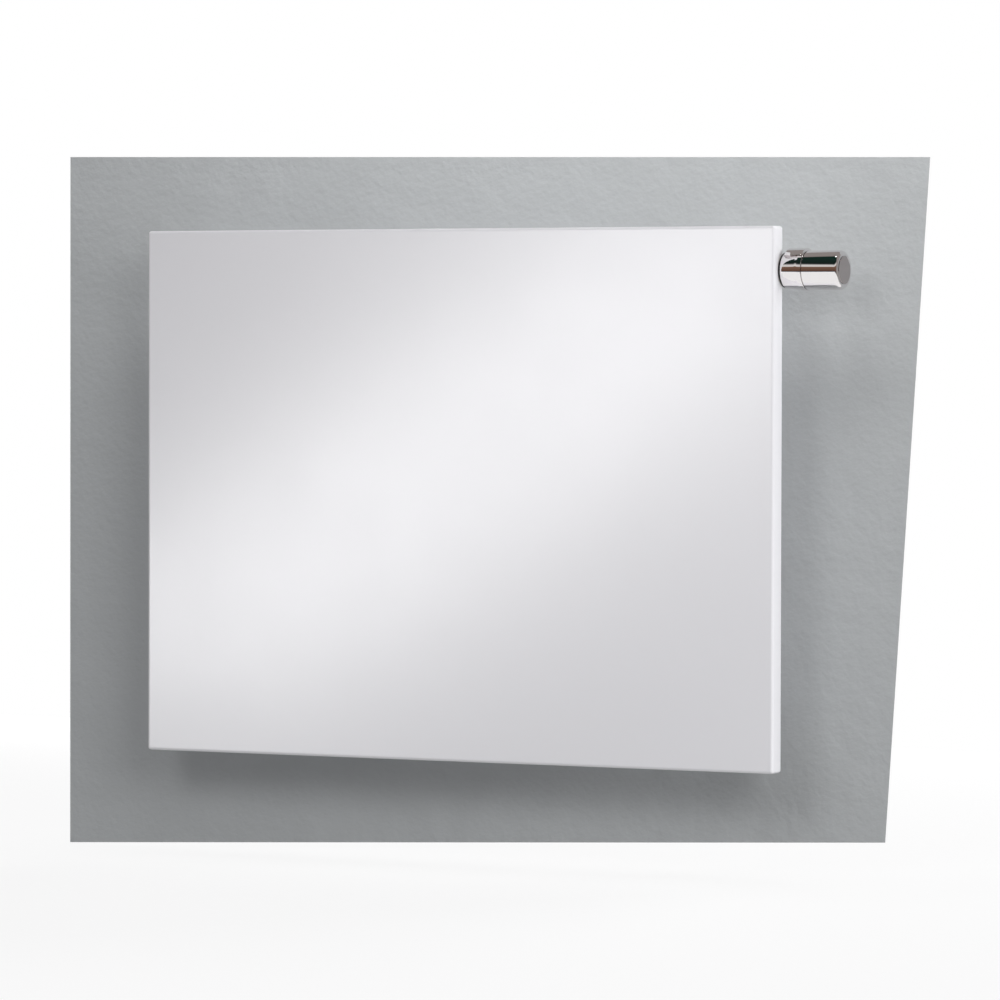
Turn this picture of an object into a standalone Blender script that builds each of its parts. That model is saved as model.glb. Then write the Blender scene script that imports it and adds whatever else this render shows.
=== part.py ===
"""Flat-fronted wall radiator with a built-in valve and a thermostatic head at its top right.

Metres, +Z up. X runs along the wall, -Y points into the room, and Y = 0 is the wall's face.
The origin is on the wall, at mid length, level with the bottom edge of the front plate.
"""

import math

import bmesh
import bpy
from mathutils import Matrix, Vector

MM = 0.001

# ---------------------------------------------------------------- driving dimensions
LENGTH = 0.800
HEIGHT = 0.600
FRONT_Y = -0.100          # face of the front plate
PLATE_SHEET = 0.0015
RETURN_DEPTH = 0.020      # how far the plate's folded edges run back
BEND_RADIUS = 0.0035

PANEL_HALF = 0.360        # half the water panel's length
PANEL_BOTTOM = 0.018
PANEL_TOP = HEIGHT - PANEL_BOTTOM
PANEL_Y = -0.090          # plane where its two shells meet
SHELL_SHEET = 0.0012
CHANNEL_DEPTH = 0.0068    # inside each shell
FLANGE = 0.008
RAMP = 0.004
HEADER_HEIGHT = 0.029
CHANNEL_PITCH = 1 / 30
CHANNELS = 20
CREST_HALF = 0.0085
GAP = 0.0003              # left between pieces that touch

AXIS_Y = FRONT_Y + 0.028  # line of the valve, vent and sockets
AXIS_Z = HEIGHT - 0.0485
BOSS_DROP = 0.019         # from the valve's axis down to the joint with the riser
LOW_AXIS_Z = PANEL_BOTTOM + FLANGE + RAMP + HEADER_HEIGHT / 2
SIDE_X = LENGTH / 2
SOCKET_X = 0.322          # where the welded sockets start, behind a header
PORT_X = 0.340            # water port between a header and its socket
RISER_X = 0.376
CONNECTION_PITCH = 0.050
RETURN_X = RISER_X - CONNECTION_PITCH
NIPPLE_BOTTOM = 0.010

PLUG_X = 0.3655           # inner end of the vent and drain plugs
BRACKET_X = 7 * CHANNEL_PITCH
CATCH_TRAVEL = 0.008      # how far a bracket's catch lifts
RIVET_Z = 0.530           # rivet that guides a catch
SPRING_FOOT = 0.3925      # fixed end of the spring that pulls a catch down
FIXING_HOLES = (0.120, 0.480)

GRIP_RADIUS = 21.7        # the grip's sizes are in millimetres, along from the plate's side
GRIP_START = 28.8
GRIP_END = 71.0
GRIP_ROUNDING = 4.5

ROUND = 40                # sides of the thermostatic head
VALVE_ROUND = 24
SMALL_ROUND = 20

WHITE = ("white_enamel", (0.86, 0.86, 0.88), 0.35, 0.0)
CHROME = ("chrome", (0.78, 0.78, 0.78), 0.06, 1.0)
BRASS = ("brass", (0.72, 0.56, 0.28), 0.30, 1.0)
NICKEL = ("nickel", (0.62, 0.60, 0.56), 0.25, 1.0)
STEEL = ("steel", (0.52, 0.52, 0.53), 0.35, 1.0)
RUBBER = ("black_rubber", (0.02, 0.02, 0.02), 0.70, 0.0)
PLASTIC = ("white_plastic", (0.82, 0.82, 0.80), 0.45, 0.0)
GREY_PLASTIC = ("grey_plastic", (0.30, 0.31, 0.32), 0.50, 0.0)
COPPER = ("copper", (0.72, 0.40, 0.26), 0.30, 1.0)


# ---------------------------------------------------------------- scene and helpers
def clear_scene():
    for obj in list(bpy.data.objects):
        bpy.data.objects.remove(obj)


def collection(name):
    made = bpy.data.collections.new(name)
    bpy.context.scene.collection.children.link(made)
    return made


def material(finish):
    name, colour, roughness, metallic = finish
    found = bpy.data.materials.get(name)
    if found:
        return found
    made = bpy.data.materials.new(name)
    made.use_nodes = True
    shader = made.node_tree.nodes["Principled BSDF"]
    shader.inputs["Base Color"].default_value = (*colour, 1.0)
    shader.inputs["Roughness"].default_value = roughness
    shader.inputs["Metallic"].default_value = metallic
    return made


def place(obj, group, finish=None):
    """Moves obj into a collection and gives it its material."""
    for old in list(obj.users_collection):
        old.objects.unlink(obj)
    group.objects.link(obj)
    if finish:
        obj.data.materials.clear()
        obj.data.materials.append(material(finish))
    return obj


def helper(obj):
    """Marks obj as a cutter or a shape that a Boolean joins, which isn't itself a part."""
    place(obj, HELPERS)
    obj.hide_render = True
    obj.display_type = "WIRE"
    return obj


def boolean(obj, other, operation="DIFFERENCE"):
    made = obj.modifiers.new(operation.title(), "BOOLEAN")
    made.operation = operation
    made.object = other
    return obj


TURNS = {
    "+X": (0, math.pi / 2, 0),
    "-X": (0, -math.pi / 2, 0),
    "+Y": (-math.pi / 2, 0, 0),
    "-Y": (math.pi / 2, 0, 0),
    "+Z": (0, 0, 0),
    "-Z": (math.pi, 0, 0),
}


def turned(name, profile, origin, direction, finish=None, steps=SMALL_ROUND):
    """A lathe shape. profile lists (distance along the axis, radius) in millimetres.
    It starts and ends on the axis, or else it is a closed ring."""
    points = [(r * MM, a * MM) for a, r in profile]
    area = sum(
        r0 * a1 - r1 * a0
        for (r0, a0), (r1, a1) in zip(points, points[1:] + points[:1])
    )
    if area > 0:  # the outer side has to run down
        points.reverse()
    mesh = bpy.data.meshes.new(name)
    shape = bmesh.new()
    corners = [shape.verts.new((r, 0, a)) for r, a in points]
    for first, second in zip(corners, corners[1:]):
        shape.edges.new((first, second))
    if points[0][0] > 0:
        shape.edges.new((corners[-1], corners[0]))
    shape.to_mesh(mesh)
    shape.free()
    obj = bpy.data.objects.new(name, mesh)
    obj.location = origin
    obj.rotation_euler = TURNS[direction]
    screw = obj.modifiers.new("Turn", "SCREW")
    screw.axis = "Z"
    screw.steps = screw.render_steps = steps
    screw.use_merge_vertices = True
    screw.merge_threshold = 0.00001
    screw.use_smooth_shade = True
    return place(obj, RADIATOR, finish) if finish else helper(obj)


def block(name, low, high, finish=None):
    """A box between two corners, in metres."""
    low, high = Vector(low), Vector(high)
    bpy.ops.mesh.primitive_cube_add(size=1, location=(low + high) / 2)
    obj = bpy.context.object
    obj.name = name
    obj.data.transform(Matrix.Diagonal((*(high - low), 1)))
    return place(obj, RADIATOR, finish) if finish else helper(obj)


def rod_cutter(name, radius, start, end, sides=16):
    """A cylinder from start to end, for a drilled hole."""
    start, end = Vector(start), Vector(end)
    along = end - start
    bpy.ops.mesh.primitive_cylinder_add(
        vertices=sides, radius=radius, depth=along.length, location=(start + end) / 2
    )
    obj = bpy.context.object
    obj.name = name
    obj.rotation_mode = "QUATERNION"
    obj.rotation_quaternion = along.to_track_quat("Z", "Y")
    return helper(obj)


def side_profile(name, outline, half_width, centre_x, finish=None):
    """A plate or a bent strip: outline lists (y, z) in millimetres, extruded along X."""
    curve = bpy.data.curves.new(name, "CURVE")
    curve.dimensions = "2D"
    curve.fill_mode = "BOTH"
    curve.extrude = half_width
    spline = curve.splines.new("POLY")
    spline.points.add(len(outline) - 1)
    for point, (y, z) in zip(spline.points, outline):
        point.co = (y * MM, z * MM, 0, 1)
    spline.use_cyclic_u = True
    drawn = bpy.data.objects.new(name + "_outline", curve)
    RADIATOR.objects.link(drawn)
    drawn.matrix_world = Matrix(
        ((0, 0, 1, centre_x), (1, 0, 0, 0), (0, 1, 0, 0), (0, 0, 0, 1))
    )
    bpy.context.view_layer.update()
    graph = bpy.context.evaluated_depsgraph_get()
    mesh = bpy.data.meshes.new_from_object(drawn.evaluated_get(graph))
    obj = bpy.data.objects.new(name, mesh)
    obj.matrix_world = drawn.matrix_world
    bpy.data.objects.remove(drawn)
    shape = bmesh.new()
    shape.from_mesh(mesh)
    bmesh.ops.remove_doubles(shape, verts=shape.verts, dist=0.00001)
    bmesh.ops.recalc_face_normals(shape, faces=shape.faces)
    shape.to_mesh(mesh)
    shape.free()
    return place(obj, RADIATOR, finish) if finish else helper(obj)


def coil(name, start, direction, length, radius, wire, turns, per_turn=8):
    """A helical spring whose axis runs from start along a unit direction."""
    curve = bpy.data.curves.new(name, "CURVE")
    curve.dimensions = "3D"
    curve.bevel_depth = wire
    curve.bevel_resolution = 1
    curve.use_fill_caps = True
    count = turns * per_turn + 1
    spline = curve.splines.new("POLY")
    spline.points.add(count - 1)
    for i, point in enumerate(spline.points):
        angle = 2 * math.pi * i / per_turn
        along = wire + (length - 2 * wire) * i / (count - 1)
        point.co = (radius * math.cos(angle), radius * math.sin(angle), along, 1)
    obj = bpy.data.objects.new(name, curve)
    obj.location = start
    obj.rotation_euler = TURNS[direction]
    return place(obj, RADIATOR, STEEL)


def ring_outline(major, minor, along, points=8):
    """Profile of an O-ring for turned(), in millimetres."""
    return [
        (
            along + minor * math.sin(2 * math.pi * i / points),
            major + minor * math.cos(2 * math.pi * i / points),
        )
        for i in range(points)
    ]


# ---------------------------------------------------------------- front plate
def make_front_plate():
    """Sheet steel tray: a flat face with four folded edges, notched for the valve."""
    bpy.ops.mesh.primitive_cube_add(
        size=1, location=(0, FRONT_Y + RETURN_DEPTH / 2, HEIGHT / 2)
    )
    plate = bpy.context.object
    plate.name = "front_plate"
    plate.data.transform(Matrix.Diagonal((LENGTH, RETURN_DEPTH, HEIGHT, 1)))
    shape = bmesh.new()
    shape.from_mesh(plate.data)
    back = [f for f in shape.faces if f.normal.y > 0.5]
    bmesh.ops.delete(shape, geom=back, context="FACES_ONLY")
    shape.to_mesh(plate.data)
    shape.free()
    bend = plate.modifiers.new("Bends", "BEVEL")
    bend.width = BEND_RADIUS
    bend.segments = 4
    sheet = plate.modifiers.new("Sheet", "SOLIDIFY")
    sheet.thickness = PLATE_SHEET
    sheet.offset = -1
    place(plate, RADIATOR, WHITE)
    notch = rod_cutter(
        "valve_notch",
        0.017,
        (SIDE_X - 0.010, AXIS_Y, AXIS_Z),
        (SIDE_X + 0.010, AXIS_Y, AXIS_Z),
        sides=32,
    )
    boolean(plate, notch)


def make_plate_tabs():
    """Four angle tabs that tie the plate's top and bottom edges to the water panel."""
    top = [(-88.2, 576), (-88.2, 598.1), (-81, 598.1), (-81, 596.9), (-86.9, 596.9), (-86.9, 576)]
    height = HEIGHT / MM
    bottom = [(y, height - z) for y, z in top]
    for side, x in (("left", -0.150), ("right", 0.150)):
        side_profile(f"plate_tab_top_{side}", top, 0.012, x, WHITE)
        side_profile(f"plate_tab_bottom_{side}", bottom, 0.012, x, WHITE)


# ---------------------------------------------------------------- water panel
def channel_centres():
    middle = (CHANNELS - 1) / 2
    return [(i - middle) * CHANNEL_PITCH for i in range(CHANNELS)]


def shell_lines():
    """Grid lines of a pressed shell, along X and up Z, where its surface bends."""
    inside = PANEL_HALF - FLANGE
    xs = {-PANEL_HALF, -inside, -inside + RAMP, inside - RAMP, inside, PANEL_HALF}
    for centre in channel_centres():
        for offset in (CREST_HALF, CREST_HALF + RAMP):
            xs |= {centre - offset, centre + offset}
    crest = PANEL_BOTTOM + FLANGE + RAMP
    rise = [
        PANEL_BOTTOM,
        PANEL_BOTTOM + FLANGE,
        crest,
        crest + HEADER_HEIGHT,
        crest + HEADER_HEIGHT + RAMP,
    ]
    return sorted(xs), rise + [HEIGHT - z for z in reversed(rise)]


def pressed_depth(x, z):
    """Depth of the pressing at a grid crossing: headers across, channels between them."""
    crest = PANEL_BOTTOM + FLANGE + RAMP
    tolerance = 1e-6
    up = min(z, HEIGHT - z)
    if up < crest - tolerance or abs(x) > PANEL_HALF - FLANGE - RAMP + tolerance:
        return 0.0
    in_header = up <= crest + HEADER_HEIGHT + tolerance
    in_channel = any(abs(x - c) <= CREST_HALF + tolerance for c in channel_centres())
    return CHANNEL_DEPTH if in_header or in_channel else 0.0


def make_shell(name, side):
    """One pressed sheet of the water panel. side is -1 for the room's side, +1 for the wall's."""
    xs, zs = shell_lines()
    shape = bmesh.new()
    bmesh.ops.create_grid(
        shape, x_segments=len(xs) - 1, y_segments=len(zs) - 1, size=1
    )
    for vert in shape.verts:
        column = round((vert.co.x + 1) / 2 * (len(xs) - 1))
        row = round((vert.co.y + 1) / 2 * (len(zs) - 1))
        x, z = xs[column], zs[row]
        vert.co = (x, PANEL_Y + side * (GAP / 2 + pressed_depth(x, z)), z)
    for face in shape.faces:
        face.normal_update()
    if sum(f.normal.y * f.calc_area() for f in shape.faces) * side < 0:
        bmesh.ops.reverse_faces(shape, faces=shape.faces)
    mesh = bpy.data.meshes.new(name)
    shape.to_mesh(mesh)
    shape.free()
    shell = place(bpy.data.objects.new(name, mesh), RADIATOR, WHITE)
    sheet = shell.modifiers.new("Sheet", "SOLIDIFY")
    sheet.thickness = SHELL_SHEET
    sheet.offset = 1
    return shell


def make_water_panel():
    make_shell("water_panel_front_shell", -1)
    rear = make_shell("water_panel_rear_shell", 1)
    crest_y = PANEL_Y + CHANNEL_DEPTH
    for name, x, z in (
        ("valve", PORT_X, AXIS_Z),
        ("vent", -PORT_X, AXIS_Z),
        ("drain", -PORT_X, LOW_AXIS_Z),
        ("return", RETURN_X, LOW_AXIS_Z),
    ):
        port = rod_cutter(
            name + "_header_port", 0.0045, (x, crest_y - 0.004, z), (x, crest_y + 0.004, z)
        )
        boolean(rear, port)


def make_convector(name, centres):
    """Folded sheet whose feet are welded along the channels, for more surface in the air."""
    foot_half, top_half, sheet = 0.006, 0.0085, 0.0006
    near = PANEL_Y + GAP / 2 + CHANNEL_DEPTH + SHELL_SHEET + GAP
    far = -0.0405
    low, high = 0.070, HEIGHT - 0.070
    line = []
    for centre in centres:
        line += [(centre - top_half, far), (centre - foot_half, near)]
        line += [(centre + foot_half, near), (centre + top_half, far)]
    mesh = bpy.data.meshes.new(name)
    shape = bmesh.new()
    base = [shape.verts.new((x, y, low)) for x, y in line]
    edges = [shape.edges.new(pair) for pair in zip(base, base[1:])]
    raised = bmesh.ops.extrude_edge_only(shape, edges=edges)["geom"]
    for vert in (g for g in raised if isinstance(g, bmesh.types.BMVert)):
        vert.co.z = high
    shape.to_mesh(mesh)
    shape.free()
    convector = place(bpy.data.objects.new(name, mesh), RADIATOR, WHITE)
    wall = convector.modifiers.new("Sheet", "SOLIDIFY")
    wall.thickness = sheet
    foot = next(face for face in mesh.polygons if abs(face.normal.y) > 0.99)
    wall.offset = -1 if foot.normal.y < 0 else 1
    wall.use_even_offset = True


# ---------------------------------------------------------------- sockets, vent and drain
def socket_profile(chamber_start, end, radius, bore, bore_start):
    """A welded socket: a thin stem behind the header, then a wider bored end."""
    return [
        (4, 0),
        (4, 6),
        (bore_start, 6),
        (bore_start, bore),
        (end, bore),
        (end, radius),
        (chamber_start, radius),
        (chamber_start, 9.5),
        (0, 9.5),
        (0, 0),
    ]


def drill_port(socket, x, z):
    """Opens the stem of a socket towards the header's port."""
    port = rod_cutter(
        socket.name + "_port", 0.0045, (x, AXIS_Y - 0.013, z), (x, AXIS_Y - 0.003, z)
    )
    boolean(socket, port)


PLUG_BODY = [(0, 10.1), (10, 10.1), (10, 8.6), (12.9, 8.6)]


def make_vent():
    """Air vent, top left: socket, plug, O-ring, turning spout and vent screw."""
    profile = socket_profile(39, 56, 13, 10.4, 43)
    socket = turned("vent_socket", profile, (-SOCKET_X, AXIS_Y, AXIS_Z), "-X", WHITE)
    drill_port(socket, -PORT_X, AXIS_Z)
    start = (-PLUG_X, AXIS_Y, AXIS_Z)
    plug = turned(
        "vent_plug",
        PLUG_BODY + [(12.9, 9.5), (17.8, 9.5), (17.8, 4), (24, 4), (24, 2.7), (9, 2.7), (9, 1), (0, 1)],
        start,
        "-X",
        NICKEL,
    )
    hexagon = rod_cutter(
        "vent_hexagon",
        0.0128,
        (-PLUG_X - 0.0130, AXIS_Y, AXIS_Z),
        (-PLUG_X - 0.0176, AXIS_Y, AXIS_Z),
        sides=6,
    )
    core = rod_cutter(
        "vent_hexagon_bore",
        0.0065,
        (-PLUG_X - 0.0100, AXIS_Y, AXIS_Z),
        (-PLUG_X - 0.0200, AXIS_Y, AXIS_Z),
    )
    boolean(hexagon, core)
    boolean(plug, hexagon, "UNION")
    turned("vent_o_ring", ring_outline(9.5, 0.7, 11.5), start, "-X", RUBBER)
    spout = turned(
        "vent_spout",
        [(18.3, 4.3), (23.6, 4.3), (23.6, 6.4), (22.8, 6.8), (18.3, 6.8)],
        start,
        "-X",
        PLASTIC,
    )
    nozzle_x = -PLUG_X - 0.0209
    nozzle = rod_cutter(
        "vent_nozzle", 0.0021, (nozzle_x, AXIS_Y, AXIS_Z - 0.0055), (nozzle_x, AXIS_Y, AXIS_Z - 0.0115), 12
    )
    boolean(spout, nozzle, "UNION")
    outlet = rod_cutter(
        "vent_outlet", 0.0011, (nozzle_x, AXIS_Y, AXIS_Z - 0.0030), (nozzle_x, AXIS_Y, AXIS_Z - 0.0125), 10
    )
    boolean(spout, outlet)
    screw = turned(
        "vent_screw",
        [(10, 0), (10, 1.4), (11, 2.3), (25.5, 2.3), (25.5, 0)],
        start,
        "-X",
        BRASS,
    )
    key = block(
        "vent_square",
        (-PLUG_X - 0.0290, AXIS_Y - 0.0025, AXIS_Z - 0.0025),
        (-PLUG_X - 0.0245, AXIS_Y + 0.0025, AXIS_Z + 0.0025),
    )
    boolean(screw, key, "UNION")


def make_drain():
    """Blind plug, bottom left."""
    profile = socket_profile(39, 56, 13, 10.4, 43)
    socket = turned("drain_socket", profile, (-SOCKET_X, AXIS_Y, LOW_AXIS_Z), "-X", WHITE)
    drill_port(socket, -PORT_X, LOW_AXIS_Z)
    start = (-PLUG_X, AXIS_Y, LOW_AXIS_Z)
    plug = turned(
        "drain_plug",
        [(0, 0)] + PLUG_BODY + [(12.9, 12.4), (15.6, 12.4), (16.2, 11.8), (16.2, 0)],
        start,
        "-X",
        NICKEL,
    )
    key = rod_cutter(
        "drain_key",
        0.0062,
        (-PLUG_X - 0.0080, AXIS_Y, LOW_AXIS_Z),
        (-PLUG_X - 0.0200, AXIS_Y, LOW_AXIS_Z),
        sides=6,
    )
    boolean(plug, key)
    turned("drain_o_ring", ring_outline(9.5, 0.7, 11.5), start, "-X", RUBBER)


# ---------------------------------------------------------------- bottom connections
def make_nipple(name, x):
    """Threaded pipe connection that points down, with a hexagon above its thread."""
    profile = [(0, 6.5), (0, 12.4), (0.8, 13.2), (10, 13.2), (10, 11), (16.2, 11), (16.2, 6.5)]
    nipple = turned(name, profile, (x, AXIS_Y, NIPPLE_BOTTOM), "+Z", NICKEL)
    low = NIPPLE_BOTTOM + 0.0103
    hexagon = rod_cutter(name + "_hexagon", 0.0150, (x, AXIS_Y, low), (x, AXIS_Y, low + 0.0056), sides=6)
    bore = rod_cutter(name + "_bore", 0.0090, (x, AXIS_Y, 0), (x, AXIS_Y, 0.060))
    boolean(hexagon, bore)
    boolean(nipple, hexagon, "UNION")


def make_connections():
    """Supply riser to the valve, return from the bottom header, and the bridge that spaces them."""
    make_nipple("supply_nipple", RISER_X)
    make_nipple("return_nipple", RETURN_X)
    base = NIPPLE_BOTTOM + 0.0165
    rise = (AXIS_Z - BOSS_DROP - GAP - base) / MM
    turned(
        "riser_pipe",
        [(0, 6.5), (0, 8), (rise, 8), (rise, 6.5)],
        (RISER_X, AXIS_Y, base),
        "+Z",
        WHITE,
    )
    elbow = turned(
        "return_elbow",
        [(0, 6.5), (0, 9.5), (29, 9.5), (30.5, 8), (30.5, 0), (27, 0), (27, 6.5)],
        (RETURN_X, AXIS_Y, base),
        "+Z",
        WHITE,
    )
    drill_port(elbow, RETURN_X, LOW_AXIS_Z)
    low = base + 0.0008
    bridge = block(
        "connection_bridge",
        (RETURN_X - 0.015, -0.0800, low),
        (RISER_X + 0.015, -0.0580, low + 0.003),
        STEEL,
    )
    for name, x, radius in (("riser", RISER_X, 0.0084), ("elbow", RETURN_X, 0.0099)):
        hole = rod_cutter(name + "_hole", radius, (x, AXIS_Y, 0), (x, AXIS_Y, 0.060), SMALL_ROUND)
        boolean(bridge, hole)


# ---------------------------------------------------------------- valve
# Distances along the valve and head are measured from the plate's side face, in millimetres.
def on_axis(distance):
    return (SIDE_X + distance * MM, AXIS_Y, AXIS_Z)


def make_valve():
    """Housing with its seat, screwed-in insert, spindle, plug, return spring and gland."""
    housing_start = (SOCKET_X - SIDE_X) / MM
    housing = turned(
        "valve_housing",
        [
            (4, 0), (4, 6), (46, 6), (46, 5), (50, 5), (50, 10.6), (68, 10.6),
            (68, 15), (39, 15), (39, 9.5), (0, 9.5), (0, 0),
        ],
        on_axis(housing_start),
        "+X",
        WHITE,
        VALVE_ROUND,
    )
    drill_port(housing, PORT_X, AXIS_Z)
    under = Vector((RISER_X, AXIS_Y, AXIS_Z))
    down = Vector((0, 0, -1))
    boss = rod_cutter("riser_boss", 0.0092, under + down * 0.011, under + down * BOSS_DROP, SMALL_ROUND)
    boolean(housing, boss, "UNION")
    inlet = rod_cutter("riser_inlet", 0.0065, under + down * 0.008, under + down * 0.030)
    boolean(housing, inlet)
    insert = turned(
        "valve_insert",
        [
            (-27.5, 7.6), (-27.5, 10.3), (-12, 10.3), (-12, 9), (-9.7, 9), (-9.7, 12.5),
            (-4, 12.5), (-4, 12), (1, 12), (1, 14.3), (1.6, 14.9), (8.4, 14.9), (9, 14.3),
            (9, 8.8), (12.5, 8.8), (12.5, 4.9), (-11.5, 4.9), (-11.5, 2.2), (-15.5, 2.2), (-15.5, 7.6),
        ],
        on_axis(0),
        "+X",
        BRASS,
        VALVE_ROUND,
    )
    for name, side in (("y", Vector((0, 0.014, 0))), ("z", Vector((0, 0, 0.014)))):
        middle = Vector(on_axis(-21.5))
        boolean(insert, rod_cutter("flow_window_" + name, 0.003, middle - side, middle + side, 10))
    turned("insert_o_ring", ring_outline(9.75, 0.6, -11.0), on_axis(0), "+X", RUBBER)
    turned(
        "valve_spindle",
        [
            (-22.8, 0), (-22.8, 1.8), (3.4, 1.8), (3.4, 3.9),
            (5, 3.9), (5, 1.8), (16.4, 1.8), (17, 1.2), (17, 0),
        ],
        on_axis(0),
        "+X",
        STEEL,
        16,
    )
    turned(
        "valve_plug",
        [(-25.9, 0), (-25.9, 6), (-25.3, 6.6), (-23.1, 6.6), (-23.1, 0)],
        on_axis(0),
        "+X",
        RUBBER,
    )
    coil("valve_spring", on_axis(-11.2), "+X", 0.0143, 0.0032, 0.00045, 5)
    turned(
        "gland_nut",
        [(8, 2.2), (8, 4.6), (12.8, 4.6), (12.8, 6.5), (14.3, 6.5), (14.3, 2.2)],
        on_axis(0),
        "+X",
        BRASS,
    )
    ring = turned(
        "preset_ring", [(9.3, 9.1), (9.3, 13.6), (11.6, 13.6), (11.6, 9.1)], on_axis(0), "+X", GREY_PLASTIC
    )
    pointer = block(
        "preset_notch",
        (SIDE_X + 0.0110, AXIS_Y - 0.0008, AXIS_Z + 0.0110),
        (SIDE_X + 0.0140, AXIS_Y + 0.0008, AXIS_Z + 0.0150),
    )
    boolean(ring, pointer)


# ---------------------------------------------------------------- thermostatic head
def quarter_round(along, radius, rounding, points=5):
    """Points of a convex quarter circle that ends a turned shape at along."""
    return [
        (
            along - rounding + rounding * math.sin(math.pi / 2 * i / points),
            radius - rounding + rounding * math.cos(math.pi / 2 * i / points),
        )
        for i in range(points + 1)
    ]


def make_base_sleeve():
    """Fixed chrome collar with a raised index pad on top, which holds the turning grip."""
    sleeve = turned(
        "base_sleeve",
        [
            (2.9, 18.8), (2.9, 20.0), (3.5, 20.6), (20, 21.8), (23, 22.4), (27.4, 22.5), (28.2, 21.9),
            (28.2, 20.2), (20, 20.2), (20, 19), (11.6, 19), (11.6, 14.4), (9.5, 14.4), (9.5, 18.8),
        ],
        on_axis(0),
        "+X",
        CHROME,
        ROUND,
    )
    pad = turned(
        "index_pad",
        [(3.8, 20.4), (6.4, 24.0), (7.2, 24.4), (26.6, 24.4), (27.4, 24.0), (28.0, 21.6), (28.0, 20.4)],
        on_axis(0),
        "+X",
        steps=ROUND,
    )
    above = block(
        "index_pad_limit",
        (SIDE_X - 0.010, AXIS_Y - 0.040, AXIS_Z + 0.0162),
        (SIDE_X + 0.040, AXIS_Y + 0.040, AXIS_Z + 0.040),
    )
    boolean(pad, above, "INTERSECT")
    boolean(sleeve, pad, "UNION")


def make_head():
    """Union nut, gasket, sleeve, guide, sensor train, grip and its end disc."""
    turned(
        "union_nut",
        [(1.4, 15.3), (1.4, 17.4), (4.4, 17.4), (4.4, 18.4), (9.1, 18.4), (9.1, 15.3)],
        on_axis(0),
        "+X",
        NICKEL,
        VALVE_ROUND,
    )
    turned(
        "base_gasket",
        [(0.6, 17.8), (0.6, 19.6), (2.6, 19.6), (2.6, 18.5), (3.8, 18.5), (3.8, 17.8)],
        on_axis(0),
        "+X",
        RUBBER,
        ROUND,
    )
    make_base_sleeve()
    turned(
        "inner_guide",
        [
            (11.9, 14.2), (11.9, 18.1), (37.5, 18.1), (37.5, 13.2),
            (16.5, 13.2), (16.5, 4), (14.7, 4), (14.7, 14.2),
        ],
        on_axis(0),
        "+X",
        PLASTIC,
        VALVE_ROUND,
    )
    turned(
        "push_rod",
        [(17.3, 0), (17.3, 2.4), (38.5, 2.4), (38.5, 7.5), (40.7, 7.5), (40.7, 0)],
        on_axis(0),
        "+X",
        STEEL,
    )
    coil("sensor_spring", on_axis(16.8), "+X", 0.0214, 0.0062, 0.0006, 5)
    turned(
        "sensor",
        [(41, 0), (41, 11), (42, 12), (60, 12), (62, 10), (62, 0)],
        on_axis(0),
        "+X",
        COPPER,
    )
    turned(
        "sensor_carrier",
        [(30, 12.3), (30, 12.9), (43.5, 12.9), (43.5, 18.2), (54, 18.2), (54, 12.3)],
        on_axis(0),
        "+X",
        GREY_PLASTIC,
        VALVE_ROUND,
    )
    rounding = quarter_round(GRIP_END, GRIP_RADIUS, GRIP_ROUNDING)
    turned(
        "grip",
        [
            (67.5, 0), (67.5, 18.6), (22, 18.6), (22, 19.8), (GRIP_START, 19.8),
            (GRIP_START, 21.1), (GRIP_START + 0.6, GRIP_RADIUS),
        ]
        + rounding
        + [(GRIP_END, 15.9), (70.2, 15.9), (70.2, 0)],
        on_axis(0),
        "+X",
        CHROME,
        ROUND,
    )
    turned(
        "end_disc",
        [(70.5, 0), (70.5, 15.3), (71.1, 15.3), (71.5, 14.8), (71.5, 0)],
        on_axis(0),
        "+X",
        CHROME,
        ROUND,
    )


# ---------------------------------------------------------------- wall brackets
RAIL_OUTLINE = [
    (0, 10), (0, 560), (-20, 560), (-20, 70), (-72, 24), (-76, 15.5), (-97, 15.5), (-97, 10),
]
CATCH_OUTLINE = [(-6, 440), (-6, 588), (-96, 588), (-96, 585), (-9, 585), (-9, 440)]
SEAM_SLOT = (-0.0920, -0.0880)  # groove for the water panel's edge


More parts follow.
